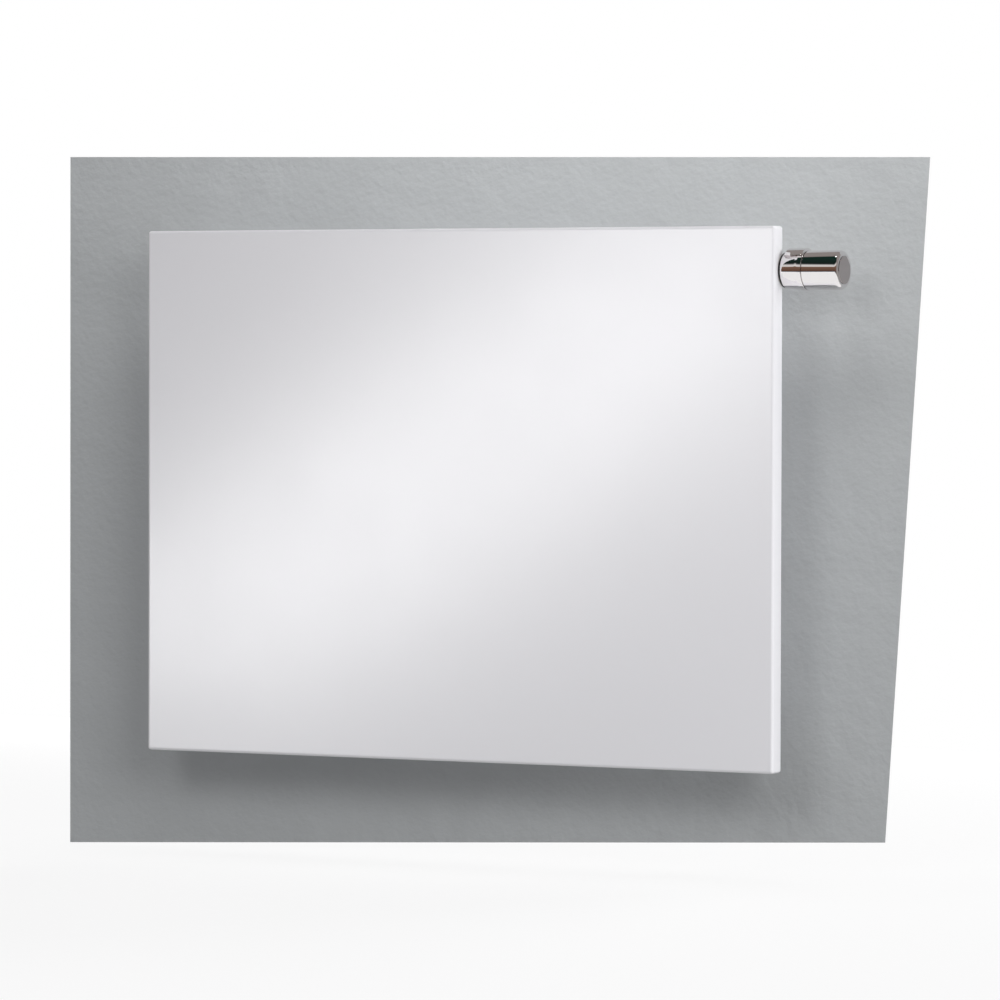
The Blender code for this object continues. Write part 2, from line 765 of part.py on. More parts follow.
def make_bracket(side, x):
    """Folded rail on the wall, a foot under the panel and a sprung catch over its top edge."""
    rail = side_profile(f"bracket_rail_{side}", RAIL_OUTLINE, 0.015, x, STEEL)
    inside = block(f"rail_inside_{side}", (x - 0.013, -0.200, 0.012), (x + 0.013, -0.002, 0.700))
    boolean(rail, inside)
    anchor = block(
        f"spring_anchor_{side}",
        (x - 0.004, -0.0120, SPRING_FOOT - 0.0045),
        (x + 0.004, -0.0010, SPRING_FOOT - 0.0005),
    )
    boolean(rail, anchor, "UNION")
    for height in FIXING_HOLES:
        name = f"fixing_hole_{side}_{height:.2f}"
        boolean(rail, rod_cutter(name, 0.0045, (x, -0.010, height), (x, 0.010, height)))

    near, far = SEAM_SLOT
    foot = block(
        f"foot_insert_{side}",
        (x - 0.0125, -0.0965, 0.0124),
        (x + 0.0125, -0.0835, 0.0215),
        GREY_PLASTIC,
    )
    boolean(foot, block(f"foot_groove_{side}", (x - 0.020, near, 0.0176), (x + 0.020, far, 0.030)))

    catch = side_profile(f"catch_{side}", CATCH_OUTLINE, 0.011, x, STEEL)
    slot = block(
        f"catch_slot_{side}",
        (x - 0.0026, -0.012, RIVET_Z - 0.0028 - CATCH_TRAVEL),
        (x + 0.0026, -0.003, RIVET_Z + 0.0028),
    )
    boolean(catch, slot)
    shoe = block(
        f"catch_shoe_{side}",
        (x - 0.010, -0.0958, 0.5788),
        (x + 0.010, -0.0840, 0.5847),
        GREY_PLASTIC,
    )
    boolean(shoe, block(f"shoe_groove_{side}", (x - 0.020, near, 0.570), (x + 0.020, far, 0.5824)))
    turned(
        f"catch_rivet_{side}",
        [(0, 0), (0, 4), (3.4, 4), (3.4, 2.2), (7.2, 2.2), (7.2, 4.5), (8.6, 4.0), (9.2, 2.5), (9.2, 0)],
        (x, -0.0023, RIVET_Z),
        "-Y",
        STEEL,
        16,
    )
    coil(f"catch_spring_{side}", (x, -0.0075, SPRING_FOOT), "+Z", 0.0472, 0.0030, 0.0005, 5)


# ---------------------------------------------------------------- assembly
clear_scene()
RADIATOR = collection("radiator_with_valve")
HELPERS = collection("cutters")

make_front_plate()
make_plate_tabs()
make_water_panel()
for third, sheet_name in enumerate(("left", "middle", "right")):
    make_convector("convector_" + sheet_name, channel_centres()[1 + 6 * third : 7 + 6 * third])
make_vent()
make_drain()
make_connections()
make_valve()
make_head()
make_bracket("left", -BRACKET_X)
make_bracket("right", BRACKET_X)
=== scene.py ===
import cmath
import math

import bmesh
import bpy
from mathutils import Matrix, Vector


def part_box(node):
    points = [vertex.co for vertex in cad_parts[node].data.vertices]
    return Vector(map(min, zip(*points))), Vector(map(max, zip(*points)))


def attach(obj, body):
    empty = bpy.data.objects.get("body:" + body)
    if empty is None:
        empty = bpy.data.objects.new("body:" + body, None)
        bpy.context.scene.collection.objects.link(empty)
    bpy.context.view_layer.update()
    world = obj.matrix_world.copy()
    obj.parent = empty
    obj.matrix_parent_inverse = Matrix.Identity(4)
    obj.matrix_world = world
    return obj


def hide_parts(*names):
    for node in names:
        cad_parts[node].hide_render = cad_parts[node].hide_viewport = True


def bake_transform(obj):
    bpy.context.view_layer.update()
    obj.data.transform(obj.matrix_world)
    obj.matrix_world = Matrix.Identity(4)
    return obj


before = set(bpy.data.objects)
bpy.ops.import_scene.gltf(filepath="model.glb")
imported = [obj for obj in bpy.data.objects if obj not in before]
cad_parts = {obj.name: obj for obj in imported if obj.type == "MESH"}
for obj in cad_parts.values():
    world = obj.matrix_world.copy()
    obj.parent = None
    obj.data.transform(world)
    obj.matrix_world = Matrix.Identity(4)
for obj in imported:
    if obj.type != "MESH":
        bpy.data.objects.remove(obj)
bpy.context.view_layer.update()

# ------------------------------------------------------------------ camera
# A long lens almost level with the radiator's middle, off to the side that the valve is on,
# so that the plate's folded edge and the end of the thermostatic head both show.
plate_low, plate_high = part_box("front_plate")
gasket_low, gasket_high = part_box("base_gasket")
valve_y, valve_z = ((gasket_low + gasket_high) / 2).yz
AZIMUTH = math.radians(27.94)
ELEVATION = math.radians(1.46)
ROLL = math.radians(0.128)
CAMERA_DISTANCE = 6.602
aim = Vector((0.0615, plate_low.y, 0.2956))
towards_camera = Vector(
    (
        math.sin(AZIMUTH) * math.cos(ELEVATION),
        -math.cos(AZIMUTH) * math.cos(ELEVATION),
        math.sin(ELEVATION),
    )
)
lens = bpy.data.cameras.new("camera")
lens.sensor_width = 36
lens.lens = 212.2
lens.clip_end = 60
camera = bpy.data.objects.new("camera", lens)
facing = (-towards_camera).to_track_quat("-Z", "Y").to_matrix().to_4x4()
standpoint = Matrix.Translation(aim + towards_camera * CAMERA_DISTANCE)
camera.matrix_world = standpoint @ facing @ Matrix.Rotation(ROLL, 4, "Z")
bpy.context.scene.collection.objects.link(camera)
bpy.context.scene.camera = camera
bpy.context.scene.view_settings.view_transform = "Standard"


# ------------------------------------------------------------------ studio
# A grey plastered board that the radiator hangs on, with a pale floor under it. The board can't
# be seen from behind and casts no shadow, so the radiator's back shows in views from there.
class Reading:
    """A number that varies over a surface or a mesh. Arithmetic on it adds Math nodes."""

    def __init__(self, tree, socket):
        self.tree = tree
        self.socket = socket

    def math(self, operation, *others):
        inputs = dict(enumerate((self, *others)))
        return self.tree.add("ShaderNodeMath", {"operation": operation}, inputs)

    def __add__(self, other):
        return self.math("ADD", other)

    def __sub__(self, other):
        return self.math("SUBTRACT", other)

    def __rsub__(self, other):
        return self.math("MULTIPLY_ADD", -1.0, other)

    def __mul__(self, other):
        return self.math("MULTIPLY", other)

    def __truediv__(self, other):
        return self.math("DIVIDE", other)

    __radd__ = __add__
    __rmul__ = __mul__

    def split(self):
        """The X, Y and Z of a vector."""
        parts = self.tree.add("ShaderNodeSeparateXYZ", None, {0: self}).socket.node.outputs
        return [Reading(self.tree, part) for part in parts]

    def step(self, start, end, low=0.0, high=1.0):
        """Runs smoothly from low to high as the number passes from start to end."""
        settings = {"interpolation_type": "SMOOTHSTEP"}
        inputs = {0: self, 1: start, 2: end, 3: low, 4: high}
        return self.tree.add("ShaderNodeMapRange", settings, inputs)


class Tree:
    """A node tree, and the one way that nodes are added to it."""

    def __init__(self, tree):
        self.tree = tree

    def feed(self, socket, value):
        if isinstance(value, Reading):
            self.tree.links.new(value.socket, socket)
        else:
            socket.default_value = value

    def add(self, kind, settings=None, inputs=None, output=0):
        node = self.tree.nodes.new(kind)
        for name, value in (settings or {}).items():
            if name == "stops":
                ramp = node.color_ramp.elements
                for place, colour in value[2:]:
                    ramp.new(place)
                for stop, (place, colour) in zip(ramp, value):
                    stop.position = place
                    stop.color = (*colour, 1)
            else:
                setattr(node, name, value)
        for name, value in (inputs or {}).items():
            self.feed(node.inputs[name], value)
        return Reading(self, node.outputs[output])

    def mix(self, factor, first, second):
        """Goes from the first colour to the second as factor goes from 0 to 1."""
        return self.add("ShaderNodeMix", {"data_type": "RGBA"}, {0: factor, 6: first, 7: second}, 2)


class Finish(Tree):
    """A Principled material. What is the same all over it is set on the shader's sockets."""

    def __init__(self, name, colour, roughness, metallic=0.0):
        self.slot = name
        self.material = bpy.data.materials.new(name + "_finish")
        self.material.use_nodes = True
        super().__init__(self.material.node_tree)
        self.shader = self.material.node_tree.nodes["Principled BSDF"]
        self.place = self.add("ShaderNodeTexCoord", output="Object")
        self.vary("Base Color", (*colour, 1))
        self.vary("Roughness", roughness)
        self.vary("Metallic", metallic)

    def vary(self, socket, value):
        self.feed(self.shader.inputs[socket], value)

    def noise(self, scale, detail=2.0, stretch=(1, 1, 1)):
        """Noise of that many features a metre, drawn out along the axes by stretch."""
        mapped = self.add("ShaderNodeMapping", None, {"Vector": self.place, "Scale": stretch})
        inputs = {"Vector": mapped, "Scale": scale, "Detail": detail}
        return self.add("ShaderNodeTexNoise", None, inputs)

    def tint(self, factor, first, second):
        """Colours the surface between two colours."""
        self.vary("Base Color", self.mix(factor, (*first, 1), (*second, 1)))

    def relief(self, height, depth):
        """Bumps of that depth in metres, from a height between 0 and 1."""
        self.vary("Normal", self.add("ShaderNodeBump", None, {"Height": height, "Distance": depth}))


# The colour wanders a little between these two, as hand-rolled paint does.
BOARD_GREY = (0.440, 0.454, 0.459)
BOARD_SHADE = (0.415, 0.429, 0.434)
plaster = Finish("board_plaster", BOARD_GREY, 0.85)
plaster.tint(plaster.noise(9, 4), BOARD_GREY, BOARD_SHADE)
plaster.relief(plaster.noise(150, 5) + 3 * plaster.noise(22, 2), 0.0007)
seen_from_behind = plaster.add("ShaderNodeNewGeometry", output="Backfacing")
casts_shadow = plaster.add("ShaderNodeLightPath", output="Is Shadow Ray")
see_through = plaster.add(
    "ShaderNodeMixShader",
    None,
    {
        0: seen_from_behind.math("MAXIMUM", casts_shadow),
        1: Reading(plaster, plaster.shader.outputs[0]),
        2: plaster.add("ShaderNodeBsdfTransparent"),
    },
)
plaster.feed(plaster.material.node_tree.nodes["Material Output"].inputs["Surface"], see_through)


def stage_sheet(name, corners, finish):
    """A flat stage piece from its corners, counted anticlockwise as seen from its front."""
    mesh = bpy.data.meshes.new(name)
    mesh.from_pydata(corners, [], [range(len(corners))])
    mesh.materials.append(finish.material)
    sheet = bpy.data.objects.new(name, mesh)
    bpy.context.scene.collection.objects.link(sheet)
    return sheet


BOARD_Y = 0.0006
FLOOR_Z = -0.1216
board_corners = [(-0.5683, FLOOR_Z), (0.4899, -0.0786), (0.5406, 0.6759), (-0.5683, 0.6907)]
board = stage_sheet("wall_board", [(x, BOARD_Y, z) for x, z in board_corners], plaster)
# The floor looks nearly white to the camera and in polished metal, yet sends little light up.
FLOOR_GREY = (0.42, 0.42, 0.42)
FLOOR_WHITE = (0.86, 0.86, 0.86)
pale = Finish("floor_paper", FLOOR_GREY, 0.9)
looked_at = pale.add("ShaderNodeLightPath", output="Is Camera Ray")
polished = pale.add("ShaderNodeLightPath", output="Is Glossy Ray")
pale.tint(looked_at.math("MAXIMUM", polished), FLOOR_GREY, FLOOR_WHITE)
pale.relief(pale.noise(300, 3), 0.0001)
glowing = pale.add("ShaderNodeEmission", None, {"Color": (1, 1, 1, 1), "Strength": 1.0})
glow_share = looked_at * 0.8 + polished * 0.95
layers = {0: glow_share, 1: Reading(pale, pale.shader.outputs[0]), 2: glowing}
whitened = pale.add("ShaderNodeMixShader", None, layers)
pale.feed(pale.material.node_tree.nodes["Material Output"].inputs["Surface"], whitened)
floor_corners = [(-3.5, -4.0), (3.5, -4.0), (3.5, 2.0), (-3.5, 2.0)]
stage_sheet("floor", [(x, y, FLOOR_Z) for x, y in floor_corners], pale)


def lamp(name, place, aim_at, width, height, power, **visible):
    """A soft box of that size in metres. visible says which rays meet it."""
    light = bpy.data.lights.new(name, "AREA")
    light.shape = "RECTANGLE"
    light.size = width
    light.size_y = height
    light.energy = power
    holder = bpy.data.objects.new(name, light)
    holder.location = place
    holder.rotation_euler = (Vector(aim_at) - Vector(place)).to_track_quat("-Z", "Y").to_euler()
    for ray, seen in visible.items():
        setattr(holder, "visible_" + ray, seen)
    bpy.context.scene.collection.objects.link(holder)
    return holder


def only_on(light, name, lit_object):
    """Keeps a lamp's light to one object."""
    lit = bpy.data.collections.new(name)
    lit.objects.link(lit_object)
    light.light_linking.receiver_collection = lit


middle = (plate_low + plate_high) / 2
on_head = (plate_high.x + 0.06, valve_y, valve_z)
lamp("key", (4.6, -4.6, 2.3), middle, 2.2, 2.2, 98, glossy=False)
lamp("fill", (0.1, -3.0, 1.7), middle, 1.0, 1.0, 17.5, glossy=False)
lamp("side", (4.6, -0.75, 0.6), middle, 1.2, 1.2, 98, glossy=False)
lamp("over", (0.1, -0.07, 2.0), (0, -0.07, 0), 0.7, 0.1, 7, glossy=False)
wash = lamp("wash", (0.28, -0.55, 1.45), (0.20, 0, 0.70), 0.8, 0.3, 7, glossy=False)
only_on(wash, "lit_by_wash", board)
lamp("back_light", (0.8, 3.0, 1.9), middle, 2.0, 2.0, 70)
lamp("back_fill", (-1.6, 2.4, 0.2), middle, 1.5, 1.5, 25)
lamp("sparkle", (0.62, -0.25, 2.0), on_head, 0.14, 0.14, 1.2, diffuse=False)

# What polished metal sees in front of it: a dark ceiling, a pale strip above eye height, then
# warm and cool darks down to a pale floor. Towards the board it sees warm grey, and paler grey
# low down on the side away from the valve. Everything else gets an even light.
world = bpy.data.worlds.new("studio")
world.use_nodes = True
bpy.context.scene.world = world
sky = Tree(world.node_tree)
aside, ahead, upward = sky.add("ShaderNodeTexCoord", output="Generated").split()
room = sky.add(
    "ShaderNodeValToRGB",
    {
        "stops": [
            (0.00, (0.80, 0.79, 0.78)),
            (0.24, (0.70, 0.70, 0.72)),
            (0.27, (0.050, 0.055, 0.080)),
            (0.44, (0.040, 0.042, 0.065)),
            (0.47, (0.12, 0.065, 0.045)),
            (0.64, (0.20, 0.115, 0.08)),
            (0.67, (0.85, 0.82, 0.79)),
            (0.72, (0.60, 0.58, 0.57)),
            (0.77, (0.010, 0.016, 0.014)),
            (0.96, (0.010, 0.028, 0.022)),
        ]
    },
    {0: upward * 0.5 + 0.5},
)
greyed = upward.step(0.30, 0.55).math("MAXIMUM", aside.step(0.1, 0.5))
beyond = sky.mix(greyed, (0.8, 0.8, 0.8, 1), (0.29, 0.262, 0.25, 1))
mirrored = sky.mix(ahead.step(-0.12, -0.02), room, beyond)
camera_ray = sky.add("ShaderNodeLightPath", output="Is Camera Ray")
glossy_ray = sky.add("ShaderNodeLightPath", output="Is Glossy Ray")
lit = sky.mix(glossy_ray, (0.285, 0.285, 0.295, 1), mirrored)
seen = sky.mix(camera_ray, lit, (1, 1, 1, 1))
sky.feed(world.node_tree.nodes["Background"].inputs["Color"], seen)


# ------------------------------------------------------------------ front plate
# One sheet of 1.5 mm steel with its four edges folded back, notched for the valve, and
# powder coated satin white. It is glued and tabbed to the water panel behind it.
ENAMEL_WHITE = (0.83, 0.825, 0.85)
ENAMEL_SHADE = (0.815, 0.81, 0.835)
enamel = Finish("white_enamel", ENAMEL_WHITE, 0.33)
enamel.shader.inputs["Coat Weight"].default_value = 0.2
enamel.shader.inputs["Coat Roughness"].default_value = 0.2
enamel.tint(enamel.noise(7, 3), ENAMEL_WHITE, ENAMEL_SHADE)
enamel.vary("Roughness", 0.30 + 0.07 * enamel.noise(14, 3))
enamel.relief(enamel.noise(420, 2) + 7 * enamel.noise(4, 1), 0.000014)


def shade(obj):
    """Shades round stretches smooth and keeps creases sharp."""
    obj.data.shade_smooth()
    obj.data.set_sharp_from_angle(angle=math.radians(35))
    return obj


def settle(obj):
    """Makes obj's modifiers part of its mesh."""
    bpy.context.view_layer.update()
    graph = bpy.context.evaluated_depsgraph_get()
    mesh = bpy.data.meshes.new_from_object(obj.evaluated_get(graph))
    obj.modifiers.clear()
    obj.data = mesh
    return shade(obj)


def piece(name, shape):
    """An object at the origin from a bmesh."""
    mesh = bpy.data.meshes.new(name)
    shape.to_mesh(mesh)
    shape.free()
    obj = bpy.data.objects.new(name, mesh)
    bpy.context.scene.collection.objects.link(obj)
    return shade(obj)


def fit(obj, finish, body, *nodes, spans=None):
    """Gives a finished piece its material, the body it rides on and the nodes it stands for.

    A spring is given spans, a second body's name and then the spring's two ends; it is then only baked
    in place instead of riding on a body, and nothing else in spans is read.
    """
    obj.data.materials.clear()
    obj.data.materials.append(finish.material)
    if spans:
        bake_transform(obj)
    else:
        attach(obj, body)
    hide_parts(*nodes)
    return obj


def cut(obj, cutter, operation="DIFFERENCE"):
    """Cuts obj with the cutter, or joins them, and removes the cutter."""
    tool = obj.modifiers.new("cut", "BOOLEAN")
    tool.operation = operation
    tool.object = cutter
    settle(obj)
    bpy.data.objects.remove(cutter)
    return obj


def soften(obj, width, segments=3, angle=50):
    """Rounds the edges that are sharper than that angle in degrees."""
    round_off = obj.modifiers.new("edges", "BEVEL")
    round_off.width = width
    round_off.segments = segments
    round_off.limit_method = "ANGLE"
    round_off.angle_limit = math.radians(angle)
    return settle(obj)


def rod(name, start, end, radius, sides=64):
    """A plain round or many-sided bar between two points."""
    start, end = Vector(start), Vector(end)
    along = end - start
    shape = bmesh.new()
    ends = {"radius1": radius, "radius2": radius, "depth": along.length}
    bmesh.ops.create_cone(shape, cap_ends=True, segments=sides, **ends)
    turned = along.to_track_quat("Z", "Y").to_matrix().to_4x4()
    placed = Matrix.Translation((start + end) / 2) @ turned
    bmesh.ops.transform(shape, matrix=placed, verts=shape.verts)
    return piece(name, shape)


MM = 0.001
PLATE_SHEET = 0.0015
PLATE_BEND = 0.0035
NOTCH_RADIUS = 0.017


def on_valve(distance):
    """A point on the valve's axis, that many millimetres out from the plate's side."""
    return Vector((plate_high.x + distance * MM, valve_y, valve_z))


shape = bmesh.new()
bmesh.ops.create_cube(shape, size=1)
bmesh.ops.scale(shape, vec=plate_high - plate_low, verts=shape.verts)
bmesh.ops.translate(shape, vec=middle, verts=shape.verts)
open_back = [face for face in shape.faces if face.normal.y > 0.5]
bmesh.ops.delete(shape, geom=open_back, context="FACES_ONLY")
plate = piece("front_plate_skin", shape)
folds = plate.modifiers.new("folds", "BEVEL")
folds.width = PLATE_BEND
folds.segments = 8
sheet = plate.modifiers.new("sheet", "SOLIDIFY")
sheet.thickness = PLATE_SHEET
sheet.offset = -1
settle(plate)
cut(plate, rod("notch", on_valve(-10), on_valve(10), NOTCH_RADIUS))
soften(plate, 0.0003, 2, 60)
fit(plate, enamel, "radiator", "front_plate")
# A soft box that only the satin plate reflects, as a broad light band from low left to top right.
sheen = lamp("sheen", (-0.90, -1.86, 0.36), (0, plate_low.y, 0.30), 1.9, 0.5, 31.5, diffuse=False)
sheen.rotation_euler.rotate_axis("Z", math.radians(36))
only_on(sheen, "lit_by_sheen", plate)
sheen.light_linking.blocker_collection = sheen.light_linking.receiver_collection


# ------------------------------------------------------------------ plate tabs
# Four angle strips of 1.2 mm steel, spot welded to the plate's folded edges and hooked behind
# the water panel's seam. They are enamelled with the plate.
def rounded(corners, steps=6):
    """An outline whose corners are (along, across) or (along, across, rounding radius)."""
    outline = []
    for i, corner in enumerate(corners):
        here = complex(*corner[:2])
        if len(corner) < 3:
            outline.append(here)
            continue
        before = complex(*corners[i - 1][:2]) - here
        after = complex(*corners[(i + 1) % len(corners)][:2]) - here
        before /= abs(before)
        after /= abs(after)
        turn = cmath.phase(after / before)
        reach = corner[2] / math.tan(abs(turn) / 2)
        towards_centre = (before + after) / abs(before + after)
        centre = here + towards_centre * corner[2] / math.sin(abs(turn) / 2)
        sweep = math.copysign(math.pi - abs(turn), -turn)
        start = here + before * reach - centre
        for k in range(steps + 1):
            outline.append(centre + start * cmath.exp(1j * sweep * k / steps))
    return [(point.real, point.imag) for point in outline]


def strip(name, corners, centre_x, width, edge=0.0002):
    """A bent strip or a shaped block: corners give (y, z) in millimetres, width runs along X."""
    shape = bmesh.new()
    start_x = centre_x - width * MM / 2
    outline = [shape.verts.new((start_x, y * MM, z * MM)) for y, z in rounded(corners)]
    side = shape.faces.new(outline)
    pulled = bmesh.ops.extrude_face_region(shape, geom=[side])["geom"]
    far_side = [part for part in pulled if isinstance(part, bmesh.types.BMVert)]
    bmesh.ops.translate(shape, vec=(width * MM, 0, 0), verts=far_side)
    bmesh.ops.recalc_face_normals(shape, faces=shape.faces)
    return soften(piece(name, shape), edge, 2, 60)


TAB_WIDTH = 24
for edge in ("top", "bottom"):
    for side in ("left", "right"):
        node = f"plate_tab_{edge}_{side}"
        tab_low, tab_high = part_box(node)
        front, back = tab_low.y / MM, tab_high.y / MM
        outer, inner = (tab_high.z, tab_low.z) if edge == "top" else (tab_low.z, tab_high.z)
        outer, inner = outer / MM, inner / MM
        in_by = 1.2 if edge == "top" else -1.2
        corners = [
            (front, inner), (front, outer, 2.2), (back, outer, 0.5), (back, outer - in_by, 0.5),
            (front + 1.3, outer - in_by, 0.9), (front + 1.3, inner),
        ]
        tab = strip(node + "_skin", corners, (tab_low.x + tab_high.x) / 2, TAB_WIDTH)
        fit(tab, enamel, "radiator", node)


# ------------------------------------------------------------------ water panel
# Two sheets of 1.2 mm steel with a header pressed across each end and twenty channels between.
# They are seam welded round the edge and spot welded in the valleys, then enamelled.
class Recipe(Tree):
    """A Geometry Nodes tree whose sizes are named inputs."""

    def __init__(self, name, **sizes):
        super().__init__(bpy.data.node_groups.new(name, "GeometryNodeTree"))
        self.identifiers = {}
        for size, value in sizes.items():
            kind = "NodeSocketInt" if isinstance(value, int) else "NodeSocketFloat"
            socket = self.tree.interface.new_socket(size, in_out="INPUT", socket_type=kind)
            socket.default_value = value
            self.identifiers[size] = socket.identifier
        self.tree.interface.new_socket("Mesh", in_out="OUTPUT", socket_type="NodeSocketGeometry")
        entry = self.tree.nodes.new("NodeGroupInput")
        self.size = {size: Reading(self, out) for size, out in zip(sizes, entry.outputs)}

    def vector(self, x, y, z):
        return self.add("ShaderNodeCombineXYZ", None, {0: x, 1: y, 2: z})

    def move(self, geometry, position):
        inputs = {"Geometry": geometry, "Position": position}
        return self.add("GeometryNodeSetPosition", None, inputs)

    def join(self, *geometries):
        joined = self.add("GeometryNodeJoinGeometry")
        for geometry in geometries:
            self.feed(joined.socket.node.inputs[0], geometry)
        return joined

    def circle(self, corners, radius):
        inputs = {"Resolution": corners, "Radius": radius}
        return self.add("GeometryNodeCurvePrimitiveCircle", {"mode": "RADIUS"}, inputs)

    def helix(self, steps):
        """A helix up the Z axis, from the recipe's Turns, Radius and Length."""
        sizes = {"Resolution": steps, "Rotations": self.size["Turns"], "Height": self.size["Length"]}
        radii = {"Start Radius": self.size["Radius"], "End Radius": self.size["Radius"]}
        return self.add("GeometryNodeCurveSpiral", None, {**sizes, **radii})

    def sweep(self, path, profile, caps=True):
        """A surface drawn along a path by a profile."""
        inputs = {"Curve": path, "Profile Curve": profile, "Fill Caps": caps}
        return self.add("GeometryNodeCurveToMesh", None, inputs)

    def end(self, geometry, finish):
        """The last nodes of every recipe: instances become real and get their material."""
        real = self.add("GeometryNodeRealizeInstances", None, {0: geometry})
        inputs = {"Geometry": real, "Material": finish.material}
        coloured = self.add("GeometryNodeSetMaterial", None, inputs)
        self.feed(self.tree.nodes.new("NodeGroupOutput").inputs[0], coloured)

    def make(self, name, sheet=0.0, offset=0.0, place=None, **sizes):
        """A plain mesh from the recipe, given a sheet thickness if it is a bare surface."""
        obj = piece(name, bmesh.new())
        making = obj.modifiers.new("making", "NODES")
        making.node_group = self.tree
        for size, value in sizes.items():
            making[self.identifiers[size]] = value
        if sheet:
            wall = obj.modifiers.new("wall", "SOLIDIFY")
            wall.thickness = sheet
            wall.offset = offset
            wall.use_even_offset = True
        settle(obj)
        if place:
            obj.data.transform(place)
        return obj


SHELL_SHEET = 0.0012
CHANNEL_PITCH = 1 / 30
HEADER_END = 0.045
FINE_ROW = 0.0015
FINE_ROWS = 30
LONG_ROWS = 10

pressing = Recipe(
    "pressed_shell", Length=0.72, Low=0.018, High=0.582, Middle=-0.09, Side=1.0, Depth=0.007
)
size = pressing.size
grid_sizes = {"Size X": size["Length"], "Size Y": 2.0 * FINE_ROWS + LONG_ROWS}
grid_counts = {"Vertices X": 433, "Vertices Y": 2 * FINE_ROWS + LONG_ROWS + 1}
grid = pressing.add("GeometryNodeMeshGrid", None, {**grid_sizes, **grid_counts})
across, row, _ = pressing.add("GeometryNodeInputPosition").split()
row = row + (FINE_ROWS + LONG_ROWS / 2)
fine_below = row.math("MINIMUM", float(FINE_ROWS)) * FINE_ROW
fine_above = (row - (FINE_ROWS + LONG_ROWS)).math("MAXIMUM", 0.0) * FINE_ROW
long_row = (size["High"] - size["Low"] - 2 * FINE_ROWS * FINE_ROW) / LONG_ROWS
long_part = (row - FINE_ROWS).math("MAXIMUM", 0.0).math("MINIMUM", float(LONG_ROWS)) * long_row
height = size["Low"] + fine_below + fine_above + long_part
from_end = (height - size["Low"]).math("MINIMUM", size["High"] - height)
from_side = size["Length"] / 2 - across.math("ABSOLUTE")
from_centre = ((across / CHANNEL_PITCH).math("FRACT") - 0.5).math("ABSOLUTE") * CHANNEL_PITCH
header = from_end.step(HEADER_END - 0.004, HEADER_END, 1.0, 0.0)
channel = from_centre.step(0.0085, 0.0125, 1.0, 0.0) * from_side.math("GREATER_THAN", 0.027)
inside = from_end.step(0.008, 0.012) * from_side.step(0.008, 0.012)
pressed = header.math("MAXIMUM", channel) * inside
depth = size["Middle"] + size["Side"] * (0.00015 + pressed * size["Depth"])
shell = pressing.move(grid, pressing.vector(across, depth, height))
pressing.end(shell, enamel)

# The dimples that spot welding leaves, down the middle of every valley.
WELD_ROWS = 12
spots = Recipe("spot_welds", Length=0.6, Low=0.075, High=0.525, Surface=-0.088, Side=1.0, Columns=19)
size = spots.size
grid_sizes = {"Size X": size["Length"], "Size Y": size["High"] - size["Low"]}
grid_counts = {"Vertices X": size["Columns"], "Vertices Y": WELD_ROWS}
grid = spots.add("GeometryNodeMeshGrid", None, {**grid_sizes, **grid_counts})
across, up, _ = spots.add("GeometryNodeInputPosition").split()
upright = spots.vector(across, size["Surface"], up + (size["High"] + size["Low"]) / 2)
cone = {"Vertices": 12, "Radius Top": 0.0017, "Radius Bottom": 0.0027, "Depth": 0.00025}
dimple = spots.add("GeometryNodeMeshCone", None, cone)
facing_out = spots.add(
    "FunctionNodeEulerToRotation", None, {0: spots.vector(size["Side"] * -math.pi / 2, 0.0, 0.0)}
)
placed = {"Points": spots.move(grid, upright), "Instance": dimple, "Rotation": facing_out}
spots.end(spots.add("GeometryNodeInstanceOnPoints", None, placed), enamel)


def merged(obj, *others):
    """Makes several meshes one piece."""
    shape = bmesh.new()
    for part in (obj, *others):
        shape.from_mesh(part.data)
    shape.to_mesh(obj.data)
    shape.free()
    for part in others:
        bpy.data.objects.remove(part)
    return shade(obj)


for node, side in (("water_panel_front_shell", -1), ("water_panel_rear_shell", 1)):
    shell_low, shell_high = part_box(node)
    seam_y = shell_high.y + 0.00015 if side < 0 else shell_low.y - 0.00015
    deep = shell_high.y - shell_low.y - SHELL_SHEET
    skin = pressing.make(
        node + "_skin", SHELL_SHEET, float(-side), Length=shell_high.x - shell_low.x,
        Low=shell_low.z, High=shell_high.z, Middle=seam_y, Side=float(side), Depth=deep,
    )
    welds = spots.make(
        "welds", Length=18 * CHANNEL_PITCH, Low=shell_low.z + 0.060, High=shell_high.z - 0.060,
        Surface=seam_y + side * (0.00015 + SHELL_SHEET), Side=float(side),
    )
    fit(merged(skin, welds), enamel, "radiator", node)


# ------------------------------------------------------------------ convector
# Three sheets of 0.6 mm steel, folded into deep fins that stand on the channels' crests and
# are spot welded to them through their feet. They are enamelled with the panel.
FIN_SHEET = 0.0006
FOOT_HALF = 0.006
TOP_HALF = 0.0085
folding = Recipe(
    "folded_fins", Middle=0.0, Near=-0.081, Far=-0.041, Low=0.07, High=0.53, Fold=0.0016, Fins=6
)
size = folding.size
line = folding.add("GeometryNodeMeshLine", None, {"Count": size["Fins"] * 4})
corner = folding.add("GeometryNodeInputIndex")
fin = (corner / 4).math("FLOOR")
within = corner - fin * 4 - 1.5
at_foot = within.math("ABSOLUTE").math("LESS_THAN", 1.0)
half = TOP_HALF + at_foot * (FOOT_HALF - TOP_HALF)
across = size["Middle"] + (fin - size["Fins"] / 2 + 0.5) * CHANNEL_PITCH + within.math("SIGN") * half
away = size["Far"] + at_foot * (size["Near"] - size["Far"])
zigzag = folding.move(line, folding.vector(across, away, size["Low"]))
drawn = folding.add("GeometryNodeMeshToCurve", None, {0: zigzag})
bends = {"Curve": drawn, "Count": 4, "Radius": size["Fold"]}
bent = folding.add("GeometryNodeFilletCurve", {"mode": "POLY"}, bends)
risen = folding.add("GeometryNodeCurvePrimitiveLine", None, {"End": (0, -1, 0)})
upright = folding.add("GeometryNodeSetCurveNormal", {"mode": "Z_UP"}, {0: bent})
